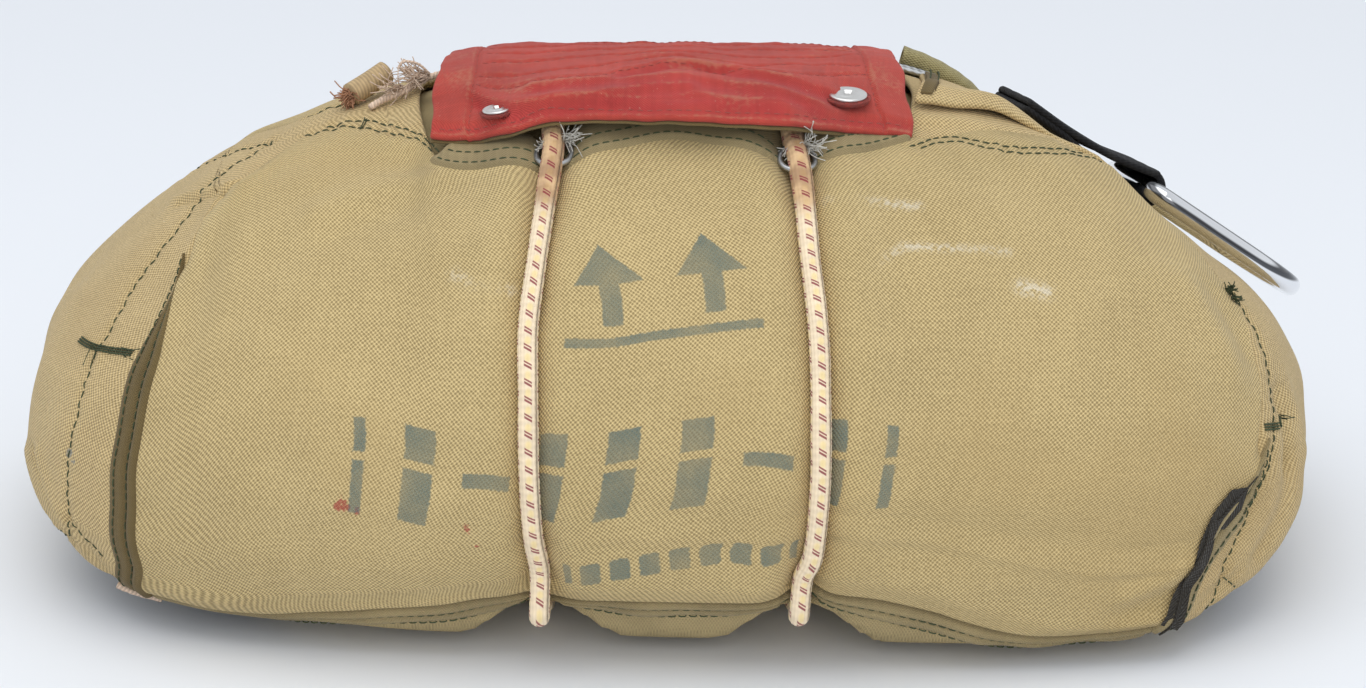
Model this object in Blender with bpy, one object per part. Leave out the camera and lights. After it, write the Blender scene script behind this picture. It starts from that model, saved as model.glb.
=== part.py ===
"""Packed chest parachute, lying on its back panel.

The filled pack is one solid. The four canvas flaps, their bindings, the opening cords with their
wire eyes, the red ripcord flap with its snaps, and the webbing with its D-ring are separate pieces
laid on it. +X runs along the pack to the D-ring end, -Y is the front, +Z is up. The origin is on
the surface that the pack lies on, under its middle.
"""
import math

import bmesh
import bpy
import numpy as np
from mathutils import Matrix, Vector

# ---------------------------------------------------------------- driving dimensions (metres)
CLOTH = 0.0020            # canvas flap, thickness
GAP = 0.0003              # between pieces that touch
LAYER_GAP = 0.0010        # between curved layers, which are faceted
SEAM_GAP = 0.0012         # between the edges of neighbouring sheets
BODY_GAP = 0.0020         # from the flaps in to the filled body
TAPE_WIDTH = 0.0088       # bindings at the end flaps
TAPE_PROUD = 0.0006       # a binding stands this far above the cloth beside it
TAPE_SUNK = 0.0009        # and reaches this far below the cloth's outer face
NARROWEST = 0.25          # share of its width at which a tucked binding ends
HEM_WIDTH = 0.0090        # bound edge under the red flap
HEM_LEFT = -0.0690
HEM_RIGHT = 0.0710
END_FLAP_TIP = 0.0705     # distance from the middle at which the end flaps stop

CORD_RADIUS = 0.0030
CORD_CLEAR = 0.0010       # cord to cloth, with room for the facets
CORD_POINT_STEP = 0.015
END_ROWS = 20             # rows of an end flap, shared with its bindings
END_COLUMNS = 13
SIDE_ROWS = 15            # of a side flap
SIDE_COLUMNS = 31
RED_ROWS = 9              # of the red flap
RED_COLUMNS = 19
BODY_TURNS = 48           # points round each level of the filled body
BODY_LEVELS = np.array((0.0, 0.004, 0.010, 0.020, 0.034, 0.050, 0.066, 0.082, 0.096, 0.109,
                        0.120, 0.130, 0.138, 0.145, 0.150, 0.153))
BODY_FOOT = 0.0022        # lowest that the second level may come
SLOT_RADIUS = 0.0045      # room for a cord under the pack
SLOT_REACH = 0.125

EYE_RADIUS = 0.0052       # wire eye, to the middle of its wire
EYE_WIRE = 0.0009
EYE_HEIGHT = 0.0016       # middle of the wire above the cloth
EYE_SIDES = 14

FLAP_THICKNESS = 0.0028   # red quilted ripcord flap
FLAP_FAR = 0.0345
# Cap of a snap: radius and height of its rim, shoulder, dome and clinched middle.
SNAP_PROFILE = ((0.0052, 0.0), (0.0060, 0.0005), (0.0054, 0.0012), (0.0030, 0.0017),
                (0.0020, 0.0012))
SNAP_SIDES = 20

RING_STOCK = 0.0032       # D-ring, radius of the bar
RING_WIDTH = 0.0540       # between the middles of its two arms
RING_REACH = 0.0620       # from the middle of the straight bar to the middle of the bow
RING_BAR = np.array((0.1470, 0.0283, 0.1095))
RING_BEND = 0.0080        # corner between the bar and an arm
RING_SLOPE = math.radians(34.5)
RING_ROLL = math.radians(13.5)
STRAP_WIDTH = 0.0430
STRAP_THICKNESS = 0.0022
STRAP_CLEAR = 0.0008      # webbing to bar
# Where the webbing's two layers lie behind the bar: distance back, lower face, upper layer's face.
STRAP_TAIL = ((0.0460, -0.0046, -0.0018), (0.0300, -0.0048, -0.0020), (0.0140, -0.0058, 0.0012))

TWINE_RADIUS = 0.0011
STUB_RADIUS = 0.0036
RIPCORD_RADIUS = 0.0012

HEART = np.array((0.0, 0.0, 0.055))   # inside point that the skin is measured from

# Level sections of the filled pack: where its outer skin runs at each height.
# height, left end, right end, front, far side, squareness
SECTIONS = np.array((
    (0.0000, -0.1400, 0.1380, -0.0720, 0.0780, 3.2),
    (0.0040, -0.1640, 0.1590, -0.0890, 0.0920, 5.6),
    (0.0100, -0.1790, 0.1740, -0.0970, 0.0990, 5.2),
    (0.0200, -0.1900, 0.1880, -0.1020, 0.1050, 4.1),
    (0.0400, -0.1985, 0.1980, -0.1090, 0.1100, 3.1),
    (0.0600, -0.1960, 0.1980, -0.1090, 0.1100, 2.8),
    (0.0800, -0.1870, 0.1900, -0.1030, 0.1050, 2.6),
    (0.1000, -0.1680, 0.1700, -0.0920, 0.0960, 2.4),
    (0.1200, -0.1420, 0.1440, -0.0750, 0.0820, 2.3),
    (0.1350, -0.1130, 0.1160, -0.0570, 0.0660, 2.2),
    (0.1450, -0.0850, 0.0910, -0.0400, 0.0500, 2.1),
    (0.1510, -0.0580, 0.0640, -0.0250, 0.0340, 2.0),
    (0.1540, 0.0000, 0.0010, 0.0040, 0.0060, 2.0),
))
SECTION_STEPS = 16        # samples between two rows
PROBE = 0.004             # step that a direction on the skin is measured over

# Hollows pressed into the skin, or swells where the depth is negative: centre x, y, z, then half width, half length up the pack, depth.
HOLLOWS = np.array((
    (-0.0370, -0.1020, 0.0180, 0.0150, 0.0300, 0.0050),   # left cord pinches the front seam
    (0.0400, -0.1040, 0.0180, 0.0150, 0.0300, 0.0045),    # right cord pinches the front seam
    (-0.0370, 0.1020, 0.0180, 0.0175, 0.0300, 0.0066),    # the same on the far side
    (0.0400, 0.1040, 0.0180, 0.0150, 0.0300, 0.0045),
    (-0.0690, -0.0380, 0.1400, 0.0180, 0.0250, 0.0030),   # tuck under the red flap's left corner
    (0.1420, 0.0350, 0.1130, 0.0480, 0.0335, 0.0285),     # seat of the webbing
    (0.1200, -0.0130, 0.1310, 0.0380, 0.0190, -0.0065),   # the folded corner swells beside it
    (0.1900, 0.0340, 0.0780, 0.0300, 0.0360, 0.0060),     # hollow under the D-ring
    (0.1720, -0.0930, 0.0240, 0.0120, 0.0300, 0.0040),    # open corner at the right end
    (0.0000, 0.0340, 0.1500, 0.0700, 0.0300, 0.0045),     # seat of the red flap
))
CORNER_LEAN = 0.055       # the right front corner is pulled forward, the left one back
LEAN_HEIGHT = 0.090
LEAN_DEPTH = 0.060
CORNER_LIFT = 0.006       # the left front corner stands off the surface
LIFT_START = 0.060
LIFT_LENGTH = 0.100
LIFT_HEIGHT = 0.050

# Edges of the front flap, as points near the skin: x, y, z.
FRONT_BOTTOM = (
    (-0.1580, -0.0780, 0.0120), (-0.1385, -0.0815, 0.0115), (-0.1227, -0.0846, 0.0106),
    (-0.0988, -0.0928, 0.0145), (-0.0656, -0.0979, 0.0187), (-0.0416, -0.0977, 0.0238),
    (-0.0349, -0.0972, 0.0236), (-0.0126, -0.1029, 0.0243), (0.0208, -0.1041, 0.0251),
    (0.0390, -0.1025, 0.0272), (0.0457, -0.1037, 0.0275), (0.0693, -0.1055, 0.0222),
    (0.0994, -0.1025, 0.0125), (0.1148, -0.1006, 0.0102), (0.1480, -0.1000, 0.0100),
)
FRONT_LEFT = (
    (-0.1580, -0.0780, 0.0120), (-0.1560, -0.0830, 0.0270), (-0.1545, -0.0830, 0.0540),
    (-0.1500, -0.0750, 0.0790), (-0.1455, -0.0600, 0.0960), (-0.1400, -0.0300, 0.1150),
    (-0.1350, -0.0200, 0.1210),
)
FRONT_TOP = (
    (-0.1350, -0.0200, 0.1210), (-0.1250, -0.0180, 0.1280), (-0.1100, -0.0060, 0.1360),
    (-0.0945, -0.0090, 0.1415), (-0.0760, -0.0250, 0.1435), (-0.0665, -0.0400, 0.1390),
    (-0.0350, -0.0480, 0.1390), (-0.0190, -0.0445, 0.1420), (0.0020, -0.0394, 0.1453),
    (0.0190, -0.0420, 0.1440), (0.0370, -0.0470, 0.1400), (0.0550, -0.0420, 0.1407),
    (0.0715, -0.0330, 0.1420), (0.0885, -0.0230, 0.1415), (0.1006, -0.0190, 0.1390),
    (0.1260, -0.0100, 0.1310), (0.1352, -0.0090, 0.1265),
)
FRONT_RIGHT = (
    (0.1480, -0.1000, 0.0100), (0.1540, -0.0960, 0.0290), (0.1640, -0.0880, 0.0420),
    (0.1766, -0.0730, 0.0550), (0.1806, -0.0490, 0.0780), (0.1765, -0.0320, 0.0900),
    (0.1620, -0.0130, 0.1070), (0.1477, -0.0080, 0.1190), (0.1352, -0.0090, 0.1265),
)
# Depth of the bound seam below the front flap: x, depth. The cords pinch it.
FLANGE_DEPTH = np.array((
    (-0.1580, 0.0055), (-0.0500, 0.0055), (-0.0435, 0.0030), (-0.0415, 0.0008), (-0.0320, 0.0008),
    (-0.0300, 0.0030), (-0.0150, 0.0055), (0.0010, 0.0062), (0.0200, 0.0055), (0.0340, 0.0030),
    (0.0360, 0.0008), (0.0450, 0.0008), (0.0480, 0.0030), (0.0600, 0.0055), (0.1480, 0.0055),
))
# Lower edges of the end flaps, from the front corner round to the far one.
END_LEFT_BOTTOM = (
    (-0.1650, -0.0820, 0.0120), (-0.1850, -0.0600, 0.0150), (-0.1920, 0.0, 0.0170),
    (-0.1850, 0.0620, 0.0150), (-0.1650, 0.0850, 0.0120),
)
END_RIGHT_BOTTOM = (
    (0.1570, -0.1000, 0.0100), (0.1800, -0.0720, 0.0140), (0.1900, 0.0, 0.0170),
    (0.1810, 0.0640, 0.0150), (0.1600, 0.0880, 0.0120),
)

# The cords, down the front of the pack: x, y, z near the skin, then the rise over the wire eye.
CORD_LEFT = (
    (-0.0330, -0.0380, 0.1450, 0.0032), (-0.0325, -0.0450, 0.1410, 0.0032),
    (-0.0345, -0.0590, 0.1320, 0.0008), (-0.0370, -0.0760, 0.1180, 0.0),
    (-0.0388, -0.0880, 0.1030, 0.0), (-0.0392, -0.0990, 0.0880, 0.0),
    (-0.0390, -0.1070, 0.0660, 0.0), (-0.0385, -0.1080, 0.0460, 0.0),
    (-0.0378, -0.1060, 0.0320, 0.0),
)
CORD_RIGHT = (
    (0.0380, -0.0400, 0.1440, 0.0032), (0.0392, -0.0467, 0.1400, 0.0032),
    (0.0410, -0.0579, 0.1328, 0.0010), (0.0426, -0.0740, 0.1195, 0.0),
    (0.0444, -0.0900, 0.1000, 0.0), (0.0451, -0.1038, 0.0764, 0.0),
    (0.0450, -0.1090, 0.0600, 0.0), (0.0440, -0.1100, 0.0409, 0.0),
    (0.0420, -0.1090, 0.0320, 0.0),
)
# Where a cord turns under the pack: y and z of its middle, from the front to the flat stretch.
CORD_TURN = ((-0.1062, 0.0208), (-0.0985, 0.0186), (-0.0830, 0.0140), (-0.0680, 0.0086),
             (-0.0520, 0.0038))
TURN_LEFT = -0.0364       # how far along the pack each cord turns
TURN_RIGHT = 0.0394
EYE_ROW = 1               # row of a cord's table that crosses the front wire eye
FAR_START = 2             # a cord's far end starts this many rows lower, clear of the red flap

# The red flap: x and y under its front edge, x under its far edge, then its height over the skin
# at its front edge, at its middle and at its far edge.
FLAP = np.array((
    (-0.0685, -0.0288, -0.0640, 0.0022, 0.0040, 0.0030),
    (-0.0540, -0.0352, -0.0501, 0.0034, 0.0048, 0.0030),
    (-0.0442, -0.0397, -0.0409, 0.0085, 0.0052, 0.0030),
    (-0.0383, -0.0400, -0.0352, 0.0112, 0.0056, 0.0030),
    (-0.0312, -0.0402, -0.0287, 0.0120, 0.0058, 0.0030),
    (-0.0041, -0.0408, -0.0037, 0.0100, 0.0058, 0.0030),
    (0.0247, -0.0419, 0.0227, 0.0108, 0.0058, 0.0030),
    (0.0361, -0.0430, 0.0338, 0.0120, 0.0058, 0.0030),
    (0.0448, -0.0401, 0.0417, 0.0085, 0.0052, 0.0030),
    (0.0543, -0.0366, 0.0501, 0.0046, 0.0048, 0.0030),
    (0.0722, -0.0327, 0.0665, 0.0024, 0.0040, 0.0030),
))
SNAPS = (("snap_left", -0.0498, -0.0330), ("snap_right", 0.0543, -0.0300))

# Small pieces beside the red flap: x, y near the skin and the height of their middles over it.
STUB_ROUTE = ((-0.0850, 0.0100, 0.0060), (-0.0910, 0.0060, 0.0050), (-0.0985, 0.0010, 0.0045))
TWINE_ROUTE = (
    (-0.0560, 0.0060, 0.0020), (-0.0640, 0.0070, 0.0020), (-0.0715, 0.0045, 0.0020),
    (-0.0760, 0.0000, 0.0019), (-0.0810, -0.0025, 0.0019), (-0.0860, -0.0040, 0.0019),
    (-0.0915, -0.0075, 0.0019),
)
RIPCORD_ROUTE = ((0.0640, 0.0225, 0.0016), (0.0740, 0.0225, 0.0019), (0.0860, 0.0225, 0.0022))

# Rolled edge of the far flap, open at its left end: x, y near the skin, radius across, radius up.
ROLL = (
    (0.0745, 0.0330, 0.0072, 0.0054), (0.0860, 0.0320, 0.0072, 0.0048),
    (0.1000, 0.0290, 0.0068, 0.0038), (0.1090, 0.0265, 0.0056, 0.0028),
)
ROLL_WALL = 0.0016
ROLL_DEPTH = 0.6          # share of its length that is hollow

# Folded corner of the right end flap, beside the red flap: points near its outline.
CORNER_FRONT = (
    (0.0750, -0.0180, 0.1464), (0.0850, -0.0160, 0.1447), (0.0930, -0.0137, 0.1429),
    (0.1039, -0.0122, 0.1396), (0.1130, -0.0120, 0.1362), (0.1221, -0.0115, 0.1326),
    (0.1305, -0.0115, 0.1288), (0.1392, -0.0140, 0.1235), (0.1478, -0.0160, 0.1180),
)
CORNER_FAR = (
    (0.0800, 0.0170, 0.1462), (0.0900, 0.0165, 0.1440), (0.1020, 0.0100, 0.1405),
    (0.1110, 0.0020, 0.1370), (0.1200, -0.0025, 0.1335), (0.1305, -0.0060, 0.1290),
    (0.1400, -0.0100, 0.1230), (0.1478, -0.0130, 0.1180),
)
TOP_HEIGHT = 0.145        # rough height of points on the top

CANVAS = ("canvas", (0.50, 0.42, 0.26), 0.90, 0.0)
TAPE = ("olive_tape", (0.28, 0.27, 0.15), 0.85, 0.0)
RED_CLOTH = ("red_quilt", (0.45, 0.05, 0.06), 0.85, 0.0)
CORD_COVER = ("cord_cover", (0.78, 0.68, 0.52), 0.80, 0.0)
TWINE = ("twine", (0.66, 0.57, 0.45), 0.90, 0.0)
WEBBING = ("black_webbing", (0.02, 0.02, 0.02), 0.80, 0.0)
CHROME = ("chrome", (0.85, 0.86, 0.88), 0.08, 1.0)
STEEL = ("steel_wire", (0.42, 0.43, 0.45), 0.35, 1.0)
NICKEL = ("nickel", (0.75, 0.75, 0.74), 0.22, 1.0)


# ---------------------------------------------------------------- numbers and curves
def ease(share):
    """Smooth step from 0 to 1."""
    share = np.clip(share, 0.0, 1.0)
    return share * share * (3.0 - 2.0 * share)


def through(rows, steps):
    """Smooth curve through the rows, with that many samples between two of them."""
    rows = np.asarray(rows, float)
    padded = np.vstack((2.0 * rows[0] - rows[1], rows, 2.0 * rows[-1] - rows[-2]))
    samples = []
    for index in range(1, len(padded) - 2):
        before, start, end, after = padded[index - 1:index + 3]
        for step in range(steps):
            t = step / steps
            samples.append(0.5 * (2.0 * start + (end - before) * t
                                  + (2.0 * before - 5.0 * start + 4.0 * end - after) * t ** 2
                                  + (3.0 * start - before - 3.0 * end + after) * t ** 3))
    samples.append(rows[-1])
    return np.array(samples)


def even(points, count):
    """The same line with evenly spaced points."""
    points = np.asarray(points, float)
    steps = np.linalg.norm(np.diff(points[:, :3], axis=0), axis=1)
    along = np.concatenate(((0.0,), np.cumsum(steps)))
    wanted = np.linspace(0.0, along[-1], count)
    return np.stack([np.interp(wanted, along, column) for column in points.T], axis=1)


def smooth_line(rows, count):
    return even(through(rows, 12), count)


# ---------------------------------------------------------------- the pack's outer skin
LEVELS = through(SECTIONS, SECTION_STEPS)


def section_at(height):
    """The section's columns at any heights."""
    return [np.interp(height, LEVELS[:, 0], LEVELS[:, column]) for column in range(1, 6)]


def fullness(points):
    """Below 1 inside the pack, above 1 outside it."""
    left, right, front, far, square = section_at(points[..., 2])
    across = np.abs(points[..., 0] - (left + right) / 2) / np.maximum((right - left) / 2, 1e-6)
    deep = np.abs(points[..., 1] - (front + far) / 2) / np.maximum((far - front) / 2, 1e-6)
    value = np.minimum(across, 9.0) ** square + np.minimum(deep, 9.0) ** square
    beyond = (points[..., 2] < 0.0) | (points[..., 2] > SECTIONS[-1, 0])
    return np.where(beyond, 9.0, value)


def settle(points):
    """Pull the low front corners forward or back, and lift the left one."""
    points = points.copy()
    frontal = ease(-points[..., 1] / LEAN_DEPTH)
    low = 1.0 - ease(points[..., 2] / LEAN_HEIGHT)
    lift = CORNER_LIFT * ease((-points[..., 0] - LIFT_START) / LIFT_LENGTH)
    lift = lift * (1.0 - ease(points[..., 2] / LIFT_HEIGHT)) * frontal
    points[..., 1] -= CORNER_LEAN * points[..., 0] * low * frontal
    points[..., 2] += lift
    return points


def unsettle(points):
    """Where points of the settled skin were before it settled."""
    points = np.asarray(points, float)
    before = points
    for _ in range(4):
        before = points - (settle(before) - before)
    return before


def press(points):
    """Push the skin towards the heart where something holds it in."""
    inward = HEART - points
    inward /= np.linalg.norm(inward, axis=-1, keepdims=True)
    for x, y, z, wide, tall, depth in HOLLOWS:
        reach = ((points[..., 0] - x) / wide) ** 2 + ((points[..., 2] - z) / tall) ** 2
        reach += ((points[..., 1] - y) / tall) ** 2
        points = points + inward * (depth * np.exp(-reach))[..., None]
    return points


def on_skin(rough):
    """The full skin's point on the line from the heart through each rough point."""
    rough = np.asarray(rough, float)
    ray = rough - HEART
    ray /= np.linalg.norm(ray, axis=-1, keepdims=True)
    inside = np.zeros(ray.shape[:-1])
    outside = np.full(ray.shape[:-1], 0.3)
    for _ in range(40):
        middle = (inside + outside) / 2
        beyond = fullness(HEART + ray * middle[..., None]) > 1.0
        outside = np.where(beyond, middle, outside)
        inside = np.where(beyond, inside, middle)
    return HEART + ray * inside[..., None]


def laid(points):
    """Points of the full skin, settled and pressed in."""
    return press(settle(points))


def grid_normals(grid):
    """Outward directions of a grid of skin points."""
    along = np.gradient(grid, axis=1)
    up = np.gradient(grid, axis=0)
    normals = np.cross(along, up)
    normals /= np.maximum(np.linalg.norm(normals, axis=-1, keepdims=True), 1e-12)
    outward = np.sign(np.sum(normals * (grid - HEART), axis=-1, keepdims=True))
    return normals * outward


def skin_normal(point):
    """Outward direction of the laid skin at one point of the full skin."""
    ray = point - HEART
    side = np.cross(ray, (0.0, 0.0, 1.0))
    side /= np.linalg.norm(side)
    other = np.cross(ray, side)
    other /= np.linalg.norm(other)
    across = laid(on_skin(point + side * PROBE)) - laid(on_skin(point - side * PROBE))
    up = laid(on_skin(point + other * PROBE)) - laid(on_skin(point - other * PROBE))
    normal = np.cross(across, up)
    normal /= np.linalg.norm(normal)
    return normal * np.sign(normal @ ray)


def patch(bottom, top, left, right, rows, columns):
    """A grid of full-skin points between four edges that share their corners."""
    bottom, top = [line if len(line) == columns else smooth_line(line, columns)
                   for line in (bottom, top)]
    left, right = [line if len(line) == rows else smooth_line(line, rows)
                   for line in (left, right)]
    across = np.linspace(0.0, 1.0, columns)[None, :, None]
    up = np.linspace(0.0, 1.0, rows)[:, None, None]
    blend = (1.0 - up) * bottom[None] + up * top[None]
    blend = blend + (1.0 - across) * left[:, None] + across * right[:, None]
    corners = (1.0 - up) * ((1.0 - across) * bottom[0] + across * bottom[-1])
    corners = corners + up * ((1.0 - across) * top[0] + across * top[-1])
    return on_skin(blend - corners)


def beside(line, distance):
    """A line moved sideways over the skin, to the left of its run seen from outside."""
    line = np.asarray(line, float)
    run = np.gradient(line, axis=0)
    outward = np.array([skin_normal(point) for point in line])
    side = np.cross(outward, run)
    side /= np.linalg.norm(side, axis=1, keepdims=True)
    width = np.broadcast_to(distance, (len(line),))
    return line + side * width[:, None]


def above(across, deep):
    """Full-skin points on the top whose laid places have this x and y."""
    wanted = np.stack((across, deep), axis=-1)
    rough = np.concatenate((wanted, np.full(across.shape + (1,), TOP_HEIGHT)), axis=-1)
    for _ in range(4):
        rough[..., :2] += wanted - laid(on_skin(rough))[..., :2]
    return on_skin(rough)


def far_side(rows):
    """The same points mirrored to the far side."""
    return np.asarray(rows, float) * (1.0, -1.0, 1.0)


def full(rows):
    """Edge points of the laid skin, moved to the full skin."""
    return on_skin(unsettle(rows))


# ---------------------------------------------------------------- making objects
def material(kind):
    name, colour, roughness, metallic = kind
    found = bpy.data.materials.get(name)
    if found:
        return found
    made = bpy.data.materials.new(name)
    made.use_nodes = True
    shader = made.node_tree.nodes["Principled BSDF"]
    shader.inputs["Base Color"].default_value = (*colour, 1.0)
    shader.inputs["Roughness"].default_value = roughness
    shader.inputs["Metallic"].default_value = metallic
    made.diffuse_color = (*colour, 1.0)
    return made


def add_object(name, data, kind):
    data.materials.append(material(kind))
    made = bpy.data.objects.new(name, data)
    bpy.context.scene.collection.objects.link(made)
    return made


def mesh_object(name, points, faces, kind):
    mesh = bpy.data.meshes.new(name)
    mesh.from_pydata([tuple(point) for point in points], [], faces)
    shape = bmesh.new()
    shape.from_mesh(mesh)
    bmesh.ops.recalc_face_normals(shape, faces=shape.faces)
    shape.to_mesh(mesh)
    shape.free()
    mesh.shade_smooth()
    mesh.set_sharp_from_angle(angle=math.radians(40.0))
    return add_object(name, mesh, kind)


def grid_faces(rows, columns, start, flip):
    faces = []
    for row in range(rows - 1):
        for column in range(columns - 1):
            corner = start + row * columns + column
            face = (corner, corner + 1, corner + columns + 1, corner + columns)
            faces.append(face[::-1] if flip else face)
    return faces


def sheet(name, grid, inner, outer, kind):
    """A sheet of cloth between two heights over a grid of full-skin points."""
    rows, columns = grid.shape[:2]
    grid = laid(grid)
    normals = grid_normals(grid)
    inner = np.broadcast_to(inner, (rows, columns))[..., None]
    outer = np.broadcast_to(outer, (rows, columns))[..., None]
    under = (grid + normals * inner).reshape(-1, 3)
    over = (grid + normals * outer).reshape(-1, 3)
    count = rows * columns
    faces = grid_faces(rows, columns, 0, True) + grid_faces(rows, columns, count, False)
    rim = list(range(columns))
    rim += [row * columns + columns - 1 for row in range(1, rows)]
    rim += [(rows - 1) * columns + column for column in range(columns - 2, -1, -1)]
    rim += [row * columns for row in range(rows - 2, 0, -1)]
    for index, corner in enumerate(rim):
        following = rim[(index + 1) % len(rim)]
        faces.append((corner, following, following + count, corner + count))
    return mesh_object(name, np.vstack((under, over)), faces, kind)


def tube(name, points, radius, resolution, kind, closed=False):
    """A round tube along its points, as a bevelled curve."""
    curve = bpy.data.curves.new(name, "CURVE")
    curve.dimensions = "3D"
    curve.bevel_depth = radius
    curve.bevel_resolution = resolution
    curve.use_fill_caps = not closed
    spline = curve.splines.new("POLY")
    spline.points.add(len(points) - 1)
    spline.use_cyclic_u = closed
    for target, point in zip(spline.points, points):
        target.co = (*point, 1.0)
    return add_object(name, curve, kind)


def rings_object(name, rings, kind):
    """A closed body skinned over rings of points, capped at both ends."""
    count = len(rings[0])
    faces = []
    for ring in range(len(rings) - 1):
        for index in range(count):
            following = (index + 1) % count
            low = ring * count
            faces.append((low + index, low + following, low + count + following, low + count + index))
    faces.append(tuple(range(count)))
    faces.append(tuple((len(rings) - 1) * count + index for index in range(count)))
    return mesh_object(name, np.vstack(rings), faces, kind)


# ---------------------------------------------------------------- the filled pack
def pack_body():
    """Back panel and packed canopy: one filled solid, flat where it lies."""
    angle = np.linspace(0.0, 2.0 * math.pi, BODY_TURNS, endpoint=False)
    left, right, front, far, square = [column[:, None] for column in section_at(BODY_LEVELS)]
    power = 2.0 / square
    across = np.sign(np.cos(angle)) * np.abs(np.cos(angle)) ** power
    deep = np.sign(np.sin(angle)) * np.abs(np.sin(angle)) ** power
    rings = np.stack(((left + right) / 2 + (right - left) / 2 * across,
                      (front + far) / 2 + (far - front) / 2 * deep,
                      np.broadcast_to(BODY_LEVELS[:, None], across.shape)), axis=-1)
    rings = np.array([even(np.vstack((ring, ring[:1])), BODY_TURNS + 1)[:-1] for ring in rings])
    rings = press(settle(rings))
    wrapped = np.concatenate((rings[:, -1:], rings, rings[:, :1]), axis=1)
    normals = grid_normals(wrapped)[:, 1:-1]
    rings = rings - normals * (CLOTH + BODY_GAP)
    rings[0, :, 2] = 0.0
    rings[1:, :, 2] = np.maximum(rings[1:, :, 2], BODY_FOOT)
    body = rings_object("pack_body", rings, CANVAS)
    for name, x in (("slot_left", TURN_LEFT), ("slot_right", TURN_RIGHT)):
        cutter = cord_slot(name, x)
        cut = body.modifiers.new(name, "BOOLEAN")
        cut.operation = "DIFFERENCE"
        cut.solver = "EXACT"
        cut.object = cutter
    body.modifiers.new("triangles", "TRIANGULATE")
    return body


def cord_slot(name, x):
    """A cutter for the slot that a cord runs in under the pack, open at its foot."""
    front = ((-SLOT_REACH, CORD_TURN[0][1]),) + CORD_TURN
    far = tuple((-y, height) for y, height in front[::-1])
    turns = np.linspace(0.0, math.pi, 9)
    rings = []
    for y, height in front + far:
        arch = [(x + SLOT_RADIUS * math.cos(turn), y, height + SLOT_RADIUS * math.sin(turn))
                for turn in turns]
        foot = [(x - SLOT_RADIUS, y, -SLOT_RADIUS), (x + SLOT_RADIUS, y, -SLOT_RADIUS)]
        rings.append(arch + foot)
    cutter = rings_object(name, np.array(rings), CANVAS)
    cutter.hide_render = True
    cutter.display_type = "WIRE"
    return cutter


# ---------------------------------------------------------------- canvas flaps and bindings
def side_flap(name, mirror):
    """A long side flap, from the bottom seam up to its stitched top edge."""
    edges = [full(mirror(rows)) for rows in (FRONT_BOTTOM, FRONT_TOP, FRONT_LEFT, FRONT_RIGHT)]
    return sheet(name, patch(*edges, SIDE_ROWS, SIDE_COLUMNS), -CLOTH, 0.0, CANVAS)


def end_flap(name, facing, side_rows, bottom_rows, bound):
    """An end flap beside the edges of both side flaps, with a binding on each long edge."""
    edges = []
    for label, mirror in (("", np.asarray), ("_far", far_side)):
        outward = -facing * mirror((0.0, 1.0, 0.0))[1]
        top = through(full(mirror(FRONT_TOP)), 12)
        top = top[facing * top[:, 0] > END_FLAP_TIP][::-facing]
        side = through(full(mirror(side_rows)), 12)
        line = even(np.vstack((side[:-1], top)), END_ROWS)
        taper = 1.0 - ease((np.linspace(0.0, 1.0, END_ROWS) - bound[0]) / (bound[1] - bound[0]))
        near = on_skin(beside(line, outward * SEAM_GAP))
        outer = on_skin(beside(line, outward * (SEAM_GAP + TAPE_WIDTH * taper)))
        edge = on_skin(beside(line, outward * (2.0 * SEAM_GAP + TAPE_WIDTH * taper)))
        kept = taper > NARROWEST
        strip = np.stack((near[kept], outer[kept]), axis=1)
        sheet(name.replace("end_flap", "binding") + label, strip, -TAPE_SUNK, TAPE_PROUD, TAPE)
        edges.append(edge)
    bottom = full(bottom_rows)
    bottom[0] = edges[0][0]
    bottom[-1] = edges[1][0]
    top = np.linspace(edges[0][-1], edges[1][-1], END_COLUMNS)
    sheet(name, patch(bottom, top, *edges, END_ROWS, END_COLUMNS), -CLOTH, 0.0, CANVAS)


def top_binding(name, mirror):
    """The bound top edge of a side flap, where the red flap covers it."""
    line = through(full(mirror(FRONT_TOP)), 12)
    line = line[(line[:, 0] > HEM_LEFT) & (line[:, 0] < HEM_RIGHT)]
    line = even(line, SIDE_ROWS)
    upward = mirror((0.0, 1.0, 0.0))[1]
    low = beside(line, upward * SEAM_GAP)
    high = beside(line, upward * (SEAM_GAP + HEM_WIDTH))
    return sheet(name, on_skin(np.stack((low, high))), -TAPE_SUNK, TAPE_PROUD, TAPE)


def bottom_flange(name, mirror):
    """The bound seam that runs along the bottom of a side flap."""
    line = through(full(mirror(FRONT_BOTTOM)), 12)
    across = np.union1d(np.linspace(line[0, 0], line[-1, 0], SIDE_COLUMNS), FLANGE_DEPTH[1:-1, 0])
    line = np.stack([np.interp(across, line[:, 0], column) for column in line.T], axis=1)
    depth = np.interp(across, FLANGE_DEPTH[:, 0], FLANGE_DEPTH[:, 1])
    high = line - (0.0, 0.0, SEAM_GAP)
    low = high - np.outer(depth, (0.0, 0.0, 1.0))
    return sheet(name, on_skin(np.stack((low, high))), -TAPE_SUNK, TAPE_PROUD, TAPE)


# ---------------------------------------------------------------- cords, eyes and the red flap
def cord_route(rows, mirror):
    """Middle of a cord over the skin, from its end down to the turn."""
    route = []
    for x, y, z, rise in rows:
        point = full(mirror((x, y, z)))
        route.append(laid(point) + skin_normal(point) * (CORD_RADIUS + CORD_CLEAR + rise))
    return route


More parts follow.
